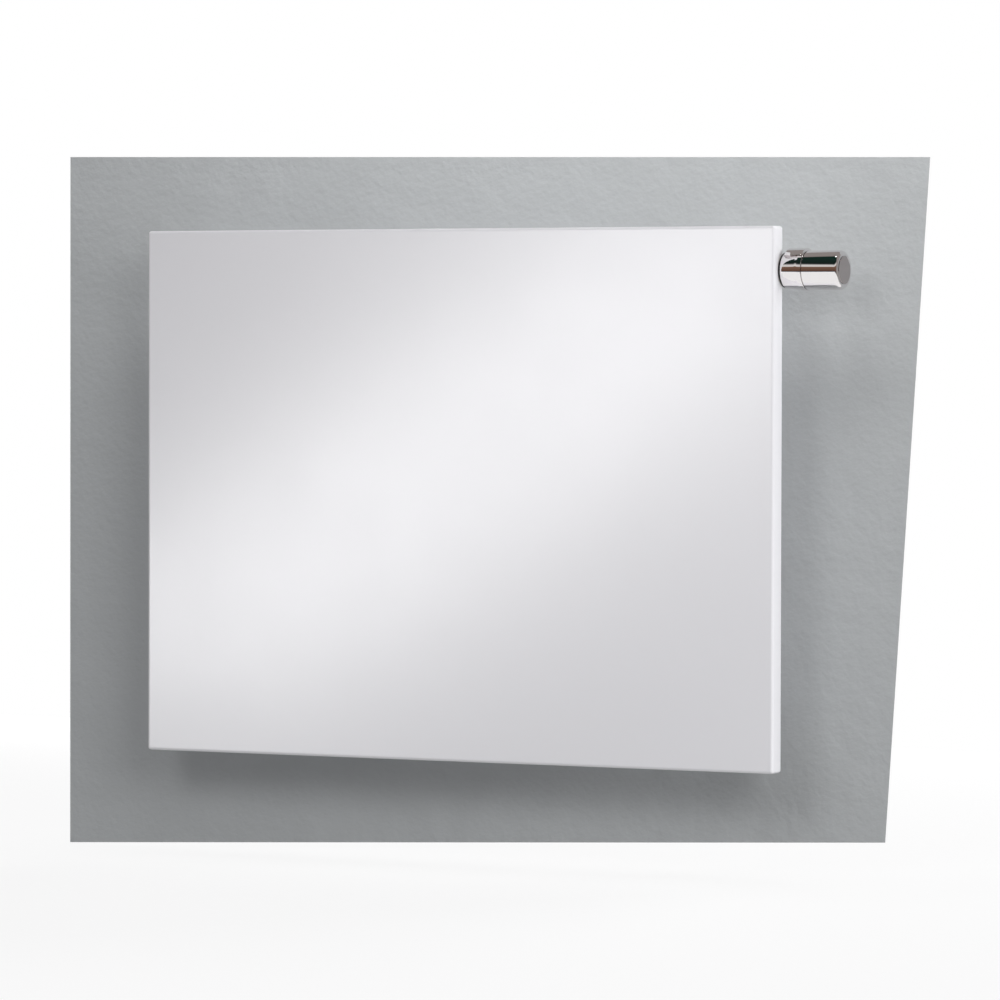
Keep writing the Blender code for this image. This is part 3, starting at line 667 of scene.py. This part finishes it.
length = size["High"] - size["Low"]
drawn_out = {"Geometry": risen, "Scale": folding.vector(1.0, length, 1.0)}
scaled = folding.add("GeometryNodeTransform", None, drawn_out)
folding.end(folding.sweep(upright, scaled, caps=False), enamel)

for third in ("left", "middle", "right"):
    node = "convector_" + third
    fins_low, fins_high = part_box(node)
    fins = folding.make(
        node + "_skin", FIN_SHEET, 0.0, Middle=(fins_low.x + fins_high.x) / 2,
        Near=fins_low.y + FIN_SHEET / 2, Far=fins_high.y - FIN_SHEET / 2,
        Low=fins_low.z, High=fins_high.z,
    )
    fit(fins, enamel, "radiator", node)


# ------------------------------------------------------------------ welded sockets
# Turned steel sockets for the air vent and the blind plug. Each has a thin stem that is welded
# over a port at the back of a header, and a wider end that is bored and tapped for its plug.
def lathe(name, profile, start, towards, sides=96):
    """A turned shape. profile is (distance along, radius[, rounding]) in millimetres. It runs
    from axis to axis, or else round a ring."""
    shape = bmesh.new()
    turns = [2 * math.pi * k / sides for k in range(sides)]
    circles = []
    for along, radius in rounded(profile):
        corners = [(radius * math.cos(turn), radius * math.sin(turn), along) for turn in turns]
        if radius < 1e-6:
            circles.append([shape.verts.new(corners[0])] * sides)
        else:
            circles.append([shape.verts.new(corner) for corner in corners])
    pairs = list(zip(circles, circles[1:]))
    if profile[0][1] > 0:
        pairs.append((circles[-1], circles[0]))
    for first, second in pairs:
        for k in range(sides):
            following = (k + 1) % sides
            loop = dict.fromkeys((first[k], first[following], second[following], second[k]))
            if len(loop) > 2:
                shape.faces.new(loop)
    bmesh.ops.recalc_face_normals(shape, faces=shape.faces)
    turned = Vector(towards).to_track_quat("Z", "Y").to_matrix().to_4x4()
    placed = Matrix.Translation(start) @ turned @ Matrix.Scale(MM, 4)
    bmesh.ops.transform(shape, matrix=placed, verts=shape.verts)
    return piece(name, shape)


# The bead of weld round a port, a little uneven as a hand-laid bead is.
bead = Recipe("weld_bead", Long=0.012, Short=0.0066, Thick=0.0018, Uneven=0.0005, Pass=1.0)
size = bead.size
oval = {"Geometry": bead.circle(90, 1.0), "Scale": bead.vector(size["Long"], size["Short"], 1.0)}
path = bead.add("GeometryNodeTransform", None, oval)
tube = bead.sweep(path, bead.circle(14, size["Thick"]), caps=False)
spot = bead.add("GeometryNodeInputPosition")
wave = {"Vector": spot, "W": size["Pass"], "Scale": 420.0, "Detail": 1.0}
ripple = bead.add("ShaderNodeTexNoise", {"noise_dimensions": "4D"}, wave)
outwards = bead.add("GeometryNodeInputNormal")
swell = {0: outwards, "Scale": (ripple - 0.5) * size["Uneven"] * 2}
push = bead.add("ShaderNodeVectorMath", {"operation": "SCALE"}, swell)
bead.end(bead.add("GeometryNodeSetPosition", None, {"Geometry": tube, "Offset": push}), enamel)

CREST_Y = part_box("water_panel_rear_shell")[1].y
BEAD_LIFT = 0.0008
FLAT_ON_PANEL = Matrix.Rotation(math.radians(90), 4, "X")


def weld(name, x, z, long, short, weld_pass):
    """A bead on the rear shell's crest round the point x, z."""
    place = Matrix.Translation((x, CREST_Y + BEAD_LIFT, z)) @ FLAT_ON_PANEL
    return bead.make(name, place=place, Long=long, Short=short, Pass=weld_pass)


STEM_WELD = 0.012
PORT_IN = 0.018
weld_pass = 1.0
for node in ("vent_socket", "drain_socket"):
    socket_low, socket_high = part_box(node)
    axis_y, axis_z = ((socket_low + socket_high) / 2).yz
    profile = [
        (0, 0), (0, 9.5, 1.6), (39, 9.5, 1.2), (39, 13, 1.6), (56, 13, 0.6),
        (56, 10.4, 0.4), (43, 10.4), (43, 6), (4, 6, 2), (4, 0),
    ]
    body = lathe(node + "_turned", profile, (socket_high.x, axis_y, axis_z), (-1, 0, 0))
    joint = weld("weld", socket_high.x - PORT_IN, axis_z, STEM_WELD, 0.0066, weld_pass)
    weld_pass += 1.0
    fit(merged(body, joint), enamel, "radiator", node)


# ------------------------------------------------------------------ air vent
# A nickel-plated brass plug with a hexagon, sealed by an O-ring. A white plastic spout turns
# on its neck, and a brass screw with a square end for a key opens it.
def metal(name, colour, dark, roughness, spread, grain, stretch=(1, 1, 1), depth=0.000003):
    """A bare or plated metal with the marks of rolling or turning."""
    finish = Finish(name, colour, roughness, 1.0)
    marks = finish.noise(grain, 3, stretch)
    finish.tint(finish.noise(45, 3), colour, dark)
    finish.vary("Roughness", roughness + spread * marks)
    finish.relief(marks, depth)
    return finish


def moulded(name, colour, dark, roughness, grain=1400, depth=0.00001):
    """A moulded plastic or rubber with a fine tool texture."""
    finish = Finish(name, colour, roughness)
    finish.tint(finish.noise(60, 3), colour, dark)
    finish.vary("Roughness", roughness + 0.12 * finish.noise(220, 2))
    finish.relief(finish.noise(grain, 2), depth)
    return finish


TURNED = (6, 0.4, 0.4)
nickel = metal("nickel", (0.68, 0.65, 0.60), (0.58, 0.55, 0.50), 0.18, 0.16, 700, TURNED)
brass = metal("brass", (0.76, 0.58, 0.28), (0.62, 0.45, 0.20), 0.22, 0.16, 700, TURNED)
white_plastic = moulded("white_plastic", (0.82, 0.82, 0.80), (0.77, 0.77, 0.74), 0.36)
rubber = moulded("black_rubber", (0.011, 0.011, 0.012), (0.022, 0.022, 0.021), 0.55, 900)


def recolour(finish, *nodes):
    """Gives nodes whose shape is right their finish."""
    for node in nodes:
        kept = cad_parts[node].data.materials
        kept.clear()
        kept.append(finish.material)


def bar(name, low, high):
    """A box between two corners."""
    low, high = Vector(low), Vector(high)
    shape = bmesh.new()
    bmesh.ops.create_cube(shape, size=1)
    bmesh.ops.scale(shape, vec=high - low, verts=shape.verts)
    bmesh.ops.translate(shape, vec=(low + high) / 2, verts=shape.verts)
    return piece(name, shape)


def hexagon(name, start, end, corner_radius, chamfer=0.9):
    """A six-sided nut whose corners are turned off at both ends."""
    start, end = Vector(start), Vector(end)
    nut = rod(name, start, end, corner_radius, 6)
    long, wide = (end - start).length / MM, corner_radius / MM + 0.02
    flat = wide * math.cos(math.pi / 6) * 0.985
    profile = [(0, 0), (0, flat), (chamfer, wide), (long - chamfer, wide), (long, flat), (long, 0)]
    cut(nut, lathe("chamfers", profile, start, end - start), "INTERSECT")
    return nut


vent_start = Vector((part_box("vent_plug")[1].x, valve_y, valve_z))
OUT_LEFT = Vector((-1, 0, 0))
plug_profile = [
    (0, 1), (0, 10.1, 0.6), (10, 10.1, 0.3), (10, 8.6, 0.3), (12.9, 8.6), (12.9, 9.5),
    (17.8, 9.5, 0.4), (17.8, 4, 0.5), (24, 4, 0.3), (24, 2.7), (9, 2.7), (9, 1),
]
plug = lathe("vent_plug_turned", plug_profile, vent_start, OUT_LEFT)
flats = hexagon("flats", vent_start + OUT_LEFT * 0.013, vent_start + OUT_LEFT * 0.0176, 0.0128)
cut(flats, rod("neck", vent_start, vent_start + OUT_LEFT * 0.03, 0.0065))
cut(plug, flats, "UNION")
fit(soften(plug, 0.00012, 2, 40), nickel, "radiator", "vent_plug")

spout_profile = [(18.3, 4.3), (23.6, 4.3, 0.3), (23.6, 6.4, 0.3), (22.8, 6.8, 0.6), (18.3, 6.8, 0.4)]
spout = lathe("vent_spout_moulded", spout_profile, vent_start, OUT_LEFT)
spout_middle = vent_start + OUT_LEFT * 0.0209
nozzle_profile = [
    (5.2, 0), (5.2, 2.6), (7.4, 2.1, 1), (11.5, 1.9, 0.4), (11.5, 1.1, 0.2), (5.4, 1.1), (5.4, 0),
]
DOWN = Vector((0, 0, -1))
nozzle = lathe("nozzle", nozzle_profile, spout_middle, DOWN, 48)
cut(spout, nozzle, "UNION")
cut(spout, rod("outlet", spout_middle + DOWN * 0.003, spout_middle + DOWN * 0.0125, 0.0011, 24))
fit(spout, white_plastic, "vent_spout", "vent_spout")

screw_profile = [(10, 0), (10, 1.4), (11, 2.3, 0.3), (25.3, 2.3, 0.4), (25.3, 0)]
screw = lathe("vent_screw_turned", screw_profile, vent_start, OUT_LEFT)
key_start = vent_start + OUT_LEFT * 0.0245
square = Vector((0, 0.0025, 0.0025))
key = bar("key_end", key_start + OUT_LEFT * 0.0045 - square, key_start + square)
cut(screw, soften(key, 0.0004), "UNION")
fit(screw, brass, "vent_screw", "vent_screw")
recolour(rubber, "vent_o_ring", "drain_o_ring", "insert_o_ring")


# ------------------------------------------------------------------ blind plug
# A nickel-plated brass plug that closes the bottom left socket. It has a round head with a
# six-sided recess for a key, and an O-ring under the head.
drain_low, drain_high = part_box("drain_plug")
drain_start = Vector((drain_high.x, *((drain_low + drain_high) / 2).yz))
blind_profile = [
    (0, 0), (0, 10.1, 0.6), (10, 10.1, 0.3), (10, 8.6, 0.3), (12.9, 8.6), (12.9, 12.4, 0.3),
    (16.2, 12.4, 0.9), (16.2, 0),
]
blind = lathe("drain_plug_turned", blind_profile, drain_start, OUT_LEFT)
cut(blind, rod("key_hole", drain_start + OUT_LEFT * 0.008, drain_start + OUT_LEFT * 0.02, 0.0062, 6))
fit(soften(blind, 0.00025, 2, 50), nickel, "radiator", "drain_plug")


# ------------------------------------------------------------------ bottom connections
# Two nickel-plated nipples with a G3/4 male thread point down at 50 mm pitch, held apart by a
# steel bridge. One feeds the riser tube to the valve, the other is fed by a welded elbow.
THREAD_PITCH = 0.001814
THREAD_TURNS = 4.4
thread = Recipe(
    "pipe_thread", Radius=0.0124, Turns=THREAD_TURNS, Length=0.008, Deep=0.00075, Wide=0.00085
)
size = thread.size
upright = thread.add("GeometryNodeSetCurveNormal", {"mode": "Z_UP"}, {0: thread.helix(72)})
flattened = {"Geometry": thread.circle(4, 1.0), "Scale": thread.vector(size["Deep"], size["Wide"], 1.0)}
vee = thread.add("GeometryNodeTransform", None, flattened)
thread.end(thread.sweep(upright, vee), nickel)

for node in ("supply_nipple", "return_nipple"):
    nipple_low, nipple_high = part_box(node)
    base = Vector((*((nipple_low + nipple_high) / 2).xy, nipple_low.z))
    profile = [(0, 6.5, 0.4), (0, 11.6, 0.5), (10, 12.0), (10, 11), (16.2, 11, 0.3), (16.2, 6.5)]
    nipple = lathe(node + "_turned", profile, base, (0, 0, 1))
    flats = hexagon("flats", base + Vector((0, 0, 0.0103)), base + Vector((0, 0, 0.0159)), 0.0150, 1.0)
    cut(flats, rod("bore", base, base + Vector((0, 0, 0.03)), 0.0090))
    cut(nipple, flats, "UNION")
    thread_start = Matrix.Translation(base + Vector((0, 0, 0.0010)))
    ridge = thread.make("ridge", place=thread_start, Length=THREAD_PITCH * THREAD_TURNS)
    fit(merged(soften(nipple, 0.00012, 2, 40), ridge), nickel, "radiator", node)

riser_low, riser_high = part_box("riser_pipe")
riser_base = Vector((*((riser_low + riser_high) / 2).xy, riser_low.z))
rise = (riser_high.z - riser_low.z) / MM
riser_profile = [(0, 6.5), (0, 8, 0.4), (rise, 8, 0.4), (rise, 6.5)]
riser = lathe("riser_tube", riser_profile, riser_base, (0, 0, 1))
boss_z = riser_high.z + 0.0002


def collar(name, base, radius, thick, weld_pass):
    """A bead of weld round an upright tube."""
    place = Matrix.Translation(base)
    return bead.make(name, place=place, Long=radius, Short=radius, Thick=thick, Pass=weld_pass)


top_collar = collar("top_collar", (riser_base.x, riser_base.y, boss_z - 0.0010), 0.0081, 0.0010, 5.0)
foot_collar = collar("foot_collar", riser_base + Vector((0, 0, 0.0012)), 0.0081, 0.0010, 6.0)
fit(merged(riser, top_collar, foot_collar), enamel, "radiator", "riser_pipe")

elbow_low, elbow_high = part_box("return_elbow")
elbow_base = Vector((*((elbow_low + elbow_high) / 2).xy, elbow_low.z))
elbow_profile = [(0, 6.5), (0, 9.5, 0.4), (30.5, 9.5, 2.6), (30.5, 0), (27, 0), (27, 6.5, 2)]
elbow = lathe("elbow_drawn", elbow_profile, elbow_base, (0, 0, 1))
drain_axis_low, drain_axis_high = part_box("drain_socket")
header_z = (drain_axis_low.z + drain_axis_high.z) / 2
elbow_weld = weld("weld", elbow_base.x, header_z, 0.0066, 0.0100, 7.0)
foot_collar = collar("foot_collar", elbow_base + Vector((0, 0, 0.0012)), 0.0096, 0.0010, 8.0)
fit(merged(elbow, elbow_weld, foot_collar), enamel, "radiator", "return_elbow")

steel = metal("steel", (0.60, 0.615, 0.63), (0.54, 0.55, 0.57), 0.34, 0.10, 240, (1, 1, 0.06))
steel.tint(steel.noise(90, 4).step(0.35, 0.65), (0.61, 0.625, 0.64), (0.56, 0.57, 0.585))
bridge_low, bridge_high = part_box("connection_bridge")
bridge = bar("bridge_stamped", bridge_low, bridge_high)
corners = bridge.modifiers.new("corners", "BEVEL")
corners.width = 0.0105
corners.segments = 10
corners.limit_method = "WEIGHT"
upright_edges = bridge.data.attributes.new("bevel_weight_edge", "FLOAT", "EDGE")
for i, edge in enumerate(bridge.data.edges):
    first, second = (bridge.data.vertices[v].co for v in edge.vertices)
    upright_edges.data[i].value = 1.0 if abs(first.z - second.z) > 0.001 else 0.0
settle(bridge)
for base, radius in ((riser_base, 0.0084), (elbow_base, 0.0099)):
    cut(bridge, rod("hole", base - Vector((0, 0, 0.01)), base + Vector((0, 0, 0.03)), radius))
fit(soften(bridge, 0.0003, 2, 50), steel, "radiator", "connection_bridge")


# ------------------------------------------------------------------ valve housing
# A turned steel housing welded behind the top header. The riser comes in through a boss under
# it, and its open end is tapped for the valve insert.
housing_start = Vector((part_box("valve_housing")[0].x, valve_y, valve_z))
housing_profile = [
    (0, 0), (0, 9.5, 1.6), (39, 9.5, 1.2), (39, 15, 2.2), (68, 15, 0.8),
    (68, 10.6, 0.4), (50, 10.6), (50, 5), (46, 5), (46, 6), (4, 6), (4, 0),
]
housing = lathe("housing_turned", housing_profile, housing_start, (1, 0, 0))
under = Vector((riser_base.x, valve_y, valve_z))
boss_profile = [(8, 0), (8, 9.2), (19, 9.2, 0.8), (19, 6.5, 0.3), (8.5, 6.5), (8.5, 0)]
cut(housing, lathe("boss", boss_profile, under, DOWN), "UNION")
cut(housing, rod("inlet", under + DOWN * 0.007, under + DOWN * 0.030, 0.0064))
saddle_place = Matrix.Translation(under + DOWN * 0.0138)
saddle = bead.make(
    "saddle", place=saddle_place, Long=0.0091, Short=0.0096, Thick=0.0013, Pass=9.0
)
housing_weld = weld("weld", housing_start.x + PORT_IN, valve_z, STEM_WELD, 0.0066, 10.0)
fit(merged(housing, saddle, housing_weld), enamel, "radiator", "valve_housing")


# ------------------------------------------------------------------ valve insert
# A brass insert screws into the housing. It carries the seat, a steel spindle with a rubber
# plug, a return spring, a gland nut, and the grey ring that presets the flow.
grey_plastic = moulded("grey_plastic", (0.27, 0.28, 0.29), (0.23, 0.24, 0.25), 0.42)
recolour(brass, "valve_insert", "gland_nut")
recolour(steel, "valve_spindle")
recolour(rubber, "valve_plug")
recolour(grey_plastic, "preset_ring")

spring = Recipe("coil_spring", Turns=6.0, Radius=0.003, Wire=0.0005, Length=0.02)
spring.end(spring.sweep(spring.helix(28), spring.circle(10, spring.size["Wire"])), steel)

# Play at a spring's moving end, so that the stem's own small lift doesn't reach the last coil.
SPRING_PLAY = 0.0004
along_valve = Matrix.Rotation(math.pi / 2, 4, "Y")
for node, wire_radius in (("valve_spring", 0.00045), ("sensor_spring", 0.0006)):
    spring_low, spring_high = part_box(node)
    long = spring_high.x - spring_low.x - 2 * wire_radius - SPRING_PLAY
    wide = (spring_high.z - spring_low.z) / 2 - wire_radius
    place = Matrix.Translation((spring_low.x + wire_radius, valve_y, valve_z)) @ along_valve
    sizes = {"Radius": wide, "Wire": wire_radius, "Length": long}
    wound = spring.make(node + "_wound", place=place, **sizes)
    ends = [(end.x, valve_y, valve_z) for end in (spring_low, spring_high)]
    fit(wound, steel, "radiator", node, spans=("sensor_train", *ends))


# ------------------------------------------------------------------ head fixing and sensor
# A nickel-plated union nut fixes the head to the insert. Inside the head a copper sensor in a
# grey carrier pushes a steel rod against a white guide as the room warms.
copper = metal("copper", (0.78, 0.44, 0.29), (0.62, 0.32, 0.20), 0.22, 0.18, 500, TURNED)
recolour(nickel, "union_nut")
recolour(white_plastic, "inner_guide")
recolour(steel, "push_rod")
recolour(grey_plastic, "sensor_carrier")

BELLOWS = 7
sensor_profile = [(41, 0), (41, 11, 1)]
for fold in range(BELLOWS):
    sensor_profile += [(42.4 + fold * 2.6, 12, 0.6), (43.7 + fold * 2.6, 10.2, 0.6)]
sensor_profile += [(61, 12, 0.6), (62, 10, 0.4), (62, 0)]
sensor = lathe("sensor_bellows", sensor_profile, on_valve(0), (1, 0, 0), 64)
fit(sensor, copper, "sensor_train", "sensor")


# ------------------------------------------------------------------ thermostatic head
# A fixed chromed collar with a raised index pad on top stands on a black rubber ring. The
# chromed grip turns on it, and a thin disc is set into the grip's rounded end.
CHROMED = (0.84, 0.82, 0.825)
CHROMED_SHADE = (0.81, 0.785, 0.785)
chrome = metal("chrome", CHROMED, CHROMED_SHADE, 0.035, 0.03, 260, depth=0.0000003)
# The end disc is a satin chrome, rougher than the grip, and its colour is darkened as painted shade for
# the dark surroundings it reflects.
SATIN_WITH_PAINTED_SHADE = (0.50, 0.455, 0.45)
SATIN_WITH_PAINTED_SHADE_DARKER = (0.48, 0.435, 0.43)
disc_chrome_painted_shade = metal("chrome", SATIN_WITH_PAINTED_SHADE, SATIN_WITH_PAINTED_SHADE_DARKER, 0.12, 0.05, 260, depth=0.0000005)
OUT_RIGHT = (1, 0, 0)
HEAD_SIDES = 160
ring_profile = [
    (0.6, 17.8), (0.6, 19.6, 0.35), (2.6, 19.6, 0.5), (2.6, 18.5), (3.8, 18.5), (3.8, 17.8),
]
ring = lathe("gasket_moulded", ring_profile, on_valve(0), OUT_RIGHT, HEAD_SIDES)
fit(ring, rubber, "radiator", "base_gasket")

collar_profile = [
    (2.9, 18.8), (2.9, 20.35, 0.25), (20, 21.8, 8), (23, 22.4, 3), (28.2, 22.5, 0.7), (28.2, 20.2, 0.2),
    (20, 20.2), (20, 19), (11.6, 19), (11.6, 14.4), (9.5, 14.4), (9.5, 18.8),
]
sleeve = lathe("collar_turned", collar_profile, on_valve(0), OUT_RIGHT, HEAD_SIDES)
PAD_CUT = 0.0162
pad_profile = [(3.8, 20.4), (6.9, 24.4, 1.2), (27.6, 24.4, 0.9), (28.0, 20.4)]
pad = lathe("index_pad", pad_profile, on_valve(0), OUT_RIGHT, HEAD_SIDES)
above_low = on_valve(-10) + Vector((0, -0.04, PAD_CUT))
above_high = on_valve(40) + Vector((0, 0.04, 0.04))
cut(pad, bar("pad_limit", above_low, above_high), "INTERSECT")
cut(sleeve, soften(pad, 0.0004, 4, 50), "UNION")
fit(sleeve, chrome, "radiator", "base_sleeve")

grip_profile = [
    (67.5, 0), (67.5, 18.6, 1.5), (22, 18.6, 0.3), (22, 19.8, 0.3), (28.8, 19.8), (28.8, 21.7, 0.5),
    (71, 21.7, 4.5), (71, 15.9, 0.25), (70.2, 15.9), (70.2, 0),
]
grip = lathe("grip_turned", grip_profile, on_valve(0), OUT_RIGHT, HEAD_SIDES)
fit(grip, chrome, "grip", "grip")
disc_profile = [(70.5, 0), (70.5, 15.3), (71.5, 15.3, 0.45), (71.42, 13.5, 4), (71.38, 0)]
disc = lathe("disc_pressed", disc_profile, on_valve(0), OUT_RIGHT, HEAD_SIDES)
fit(disc, disc_chrome_painted_shade, "grip", "end_disc")


# ------------------------------------------------------------------ wall brackets
# Each bracket is a channel folded from 2 mm zinc-plated steel and screwed to the wall. The
# panel's seam stands in a grooved plastic foot, and a sprung catch grips it from above.
RAIL_SHEET = 2.0
RAIL_WIDTH = 30
CATCH_WIDTH = 22
CATCH_TRAVEL = 0.008
FIXING_HOLES = (0.120, 0.480)
FIXING_RADIUS = 0.0045
SLOT_HALF = 0.0028
hook = Recipe("hooked_spring", Turns=24.0, Radius=0.003, Wire=0.0005, Length=0.04)
size = hook.size
arc_sizes = {"Resolution": 20, "Radius": size["Radius"] - size["Wire"]}
arc_angles = {"Start Angle": 0.0, "Sweep Angle": 4.7}
arc = hook.add("GeometryNodeCurveArc", {"mode": "RADIUS"}, {**arc_sizes, **arc_angles})
eyes = []
for height, tilt in ((0.0, -math.pi / 2), (size["Length"], math.pi / 2)):
    turned = hook.add("FunctionNodeEulerToRotation", None, {0: (tilt, 0, 0)})
    placed = {"Geometry": arc, "Translation": hook.vector(0.0, 0.0, height), "Rotation": turned}
    eyes.append(hook.add("GeometryNodeTransform", None, placed))
hooked = hook.join(hook.helix(20), *eyes)
hook.end(hook.sweep(hooked, hook.circle(8, size["Wire"])), steel)

for side in ("left", "right"):
    rail_low, rail_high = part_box("bracket_rail_" + side)
    rail_x = (rail_low.x + rail_high.x) / 2
    outline = [
        (0, 10, 2.5), (0, 560), (-20, 560, 4), (-20, 70, 12), (-72, 24, 12), (-76, 15.5, 3),
        (-97, 15.5, 2), (-97, 10, 1),
    ]
    rail = strip("rail_folded_" + side, outline, rail_x, RAIL_WIDTH, 0.0021)
    inner_half = (RAIL_WIDTH / 2 - RAIL_SHEET) * MM
    inside_low = (rail_x - inner_half, -0.2, 0.010 + RAIL_SHEET * MM)
    inside_high = (rail_x + inner_half, -RAIL_SHEET * MM, 0.7)
    cut(rail, soften(bar("inside", inside_low, inside_high), 0.0008, 3))
    spring_low, spring_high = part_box("catch_spring_" + side)
    anchor_low = (rail_x - 0.004, -0.012, spring_low.z - 0.0045)
    anchor_high = (rail_x + 0.004, -0.001, spring_low.z - 0.0005)
    cut(rail, soften(bar("anchor", anchor_low, anchor_high), 0.0006), "UNION")
    for hole_z in FIXING_HOLES:
        cut(rail, rod("hole", (rail_x, -0.01, hole_z), (rail_x, 0.01, hole_z), FIXING_RADIUS))
    fit(soften(rail, 0.0002, 2, 60), steel, "radiator", "bracket_rail_" + side)

    foot_outline = [
        (-96.5, 12.4, 0.5), (-83.5, 12.4, 0.5), (-83.5, 21.5, 1), (-88, 21.5, 1.2), (-88, 17.6, 0.8),
        (-92, 17.6, 0.8), (-92, 21.5, 1.2), (-96.5, 21.5, 1),
    ]
    foot = strip("foot_moulded_" + side, foot_outline, rail_x, 25, 0.0004)
    fit(foot, grey_plastic, "radiator", "foot_insert_" + side)

    arm = [
        (-6, 440, 0.4), (-6, 588, 5), (-96, 588, 0.4), (-96, 585, 0.4), (-9, 585, 2), (-9, 440, 0.4),
    ]
    catch = strip("catch_bent_" + side, arm, rail_x, CATCH_WIDTH, 0.0003)
    rivet_low, rivet_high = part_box("catch_rivet_" + side)
    rivet_z = (rivet_low.z + rivet_high.z) / 2
    slot_low, slot_high = rivet_z - SLOT_HALF - CATCH_TRAVEL, rivet_z + SLOT_HALF
    slot = bar("slot", (rail_x - 0.0026, -0.02, slot_low), (rail_x + 0.0026, 0.01, slot_high))
    cut(catch, soften(slot, 0.0024, 6))
    fit(soften(catch, 0.0002, 2, 60), steel, "catch_" + side, "catch_" + side)

    shoe_outline = [
        (-95.8, 578.8, 1), (-92, 578.8, 1), (-92, 582.4, 0.8), (-88, 582.4, 0.8), (-88, 578.8, 1),
        (-84, 578.8, 1), (-84, 584.7, 0.4), (-95.8, 584.7, 0.4),
    ]
    shoe = strip("shoe_moulded_" + side, shoe_outline, rail_x, 20, 0.0004)
    fit(shoe, grey_plastic, "catch_" + side, "catch_shoe_" + side)

    rivet_profile = [
        (0, 0), (0, 4, 0.3), (3.4, 4, 0.3), (3.4, 2.2), (7.2, 2.2), (7.2, 4.5, 0.3), (8.4, 4.1, 0.8),
        (9.2, 2.4, 1), (9.2, 0),
    ]
    rivet = lathe("rivet_" + side, rivet_profile, (rail_x, rivet_high.y, rivet_z), (0, -1, 0), 48)
    fit(rivet, steel, "radiator", "catch_rivet_" + side)

    spring_middle = (spring_low + spring_high) / 2
    wound = hook.make(
        "catch_spring_wound_" + side,
        place=Matrix.Translation((rail_x, spring_middle.y, spring_low.z + 0.004)),
        Length=spring_high.z - spring_low.z - 0.008,
    )
    ends = [(rail_x, spring_middle.y, end.z) for end in (spring_low, spring_high)]
    fit(wound, steel, "radiator", "catch_spring_" + side, spans=("catch_" + side, *ends))
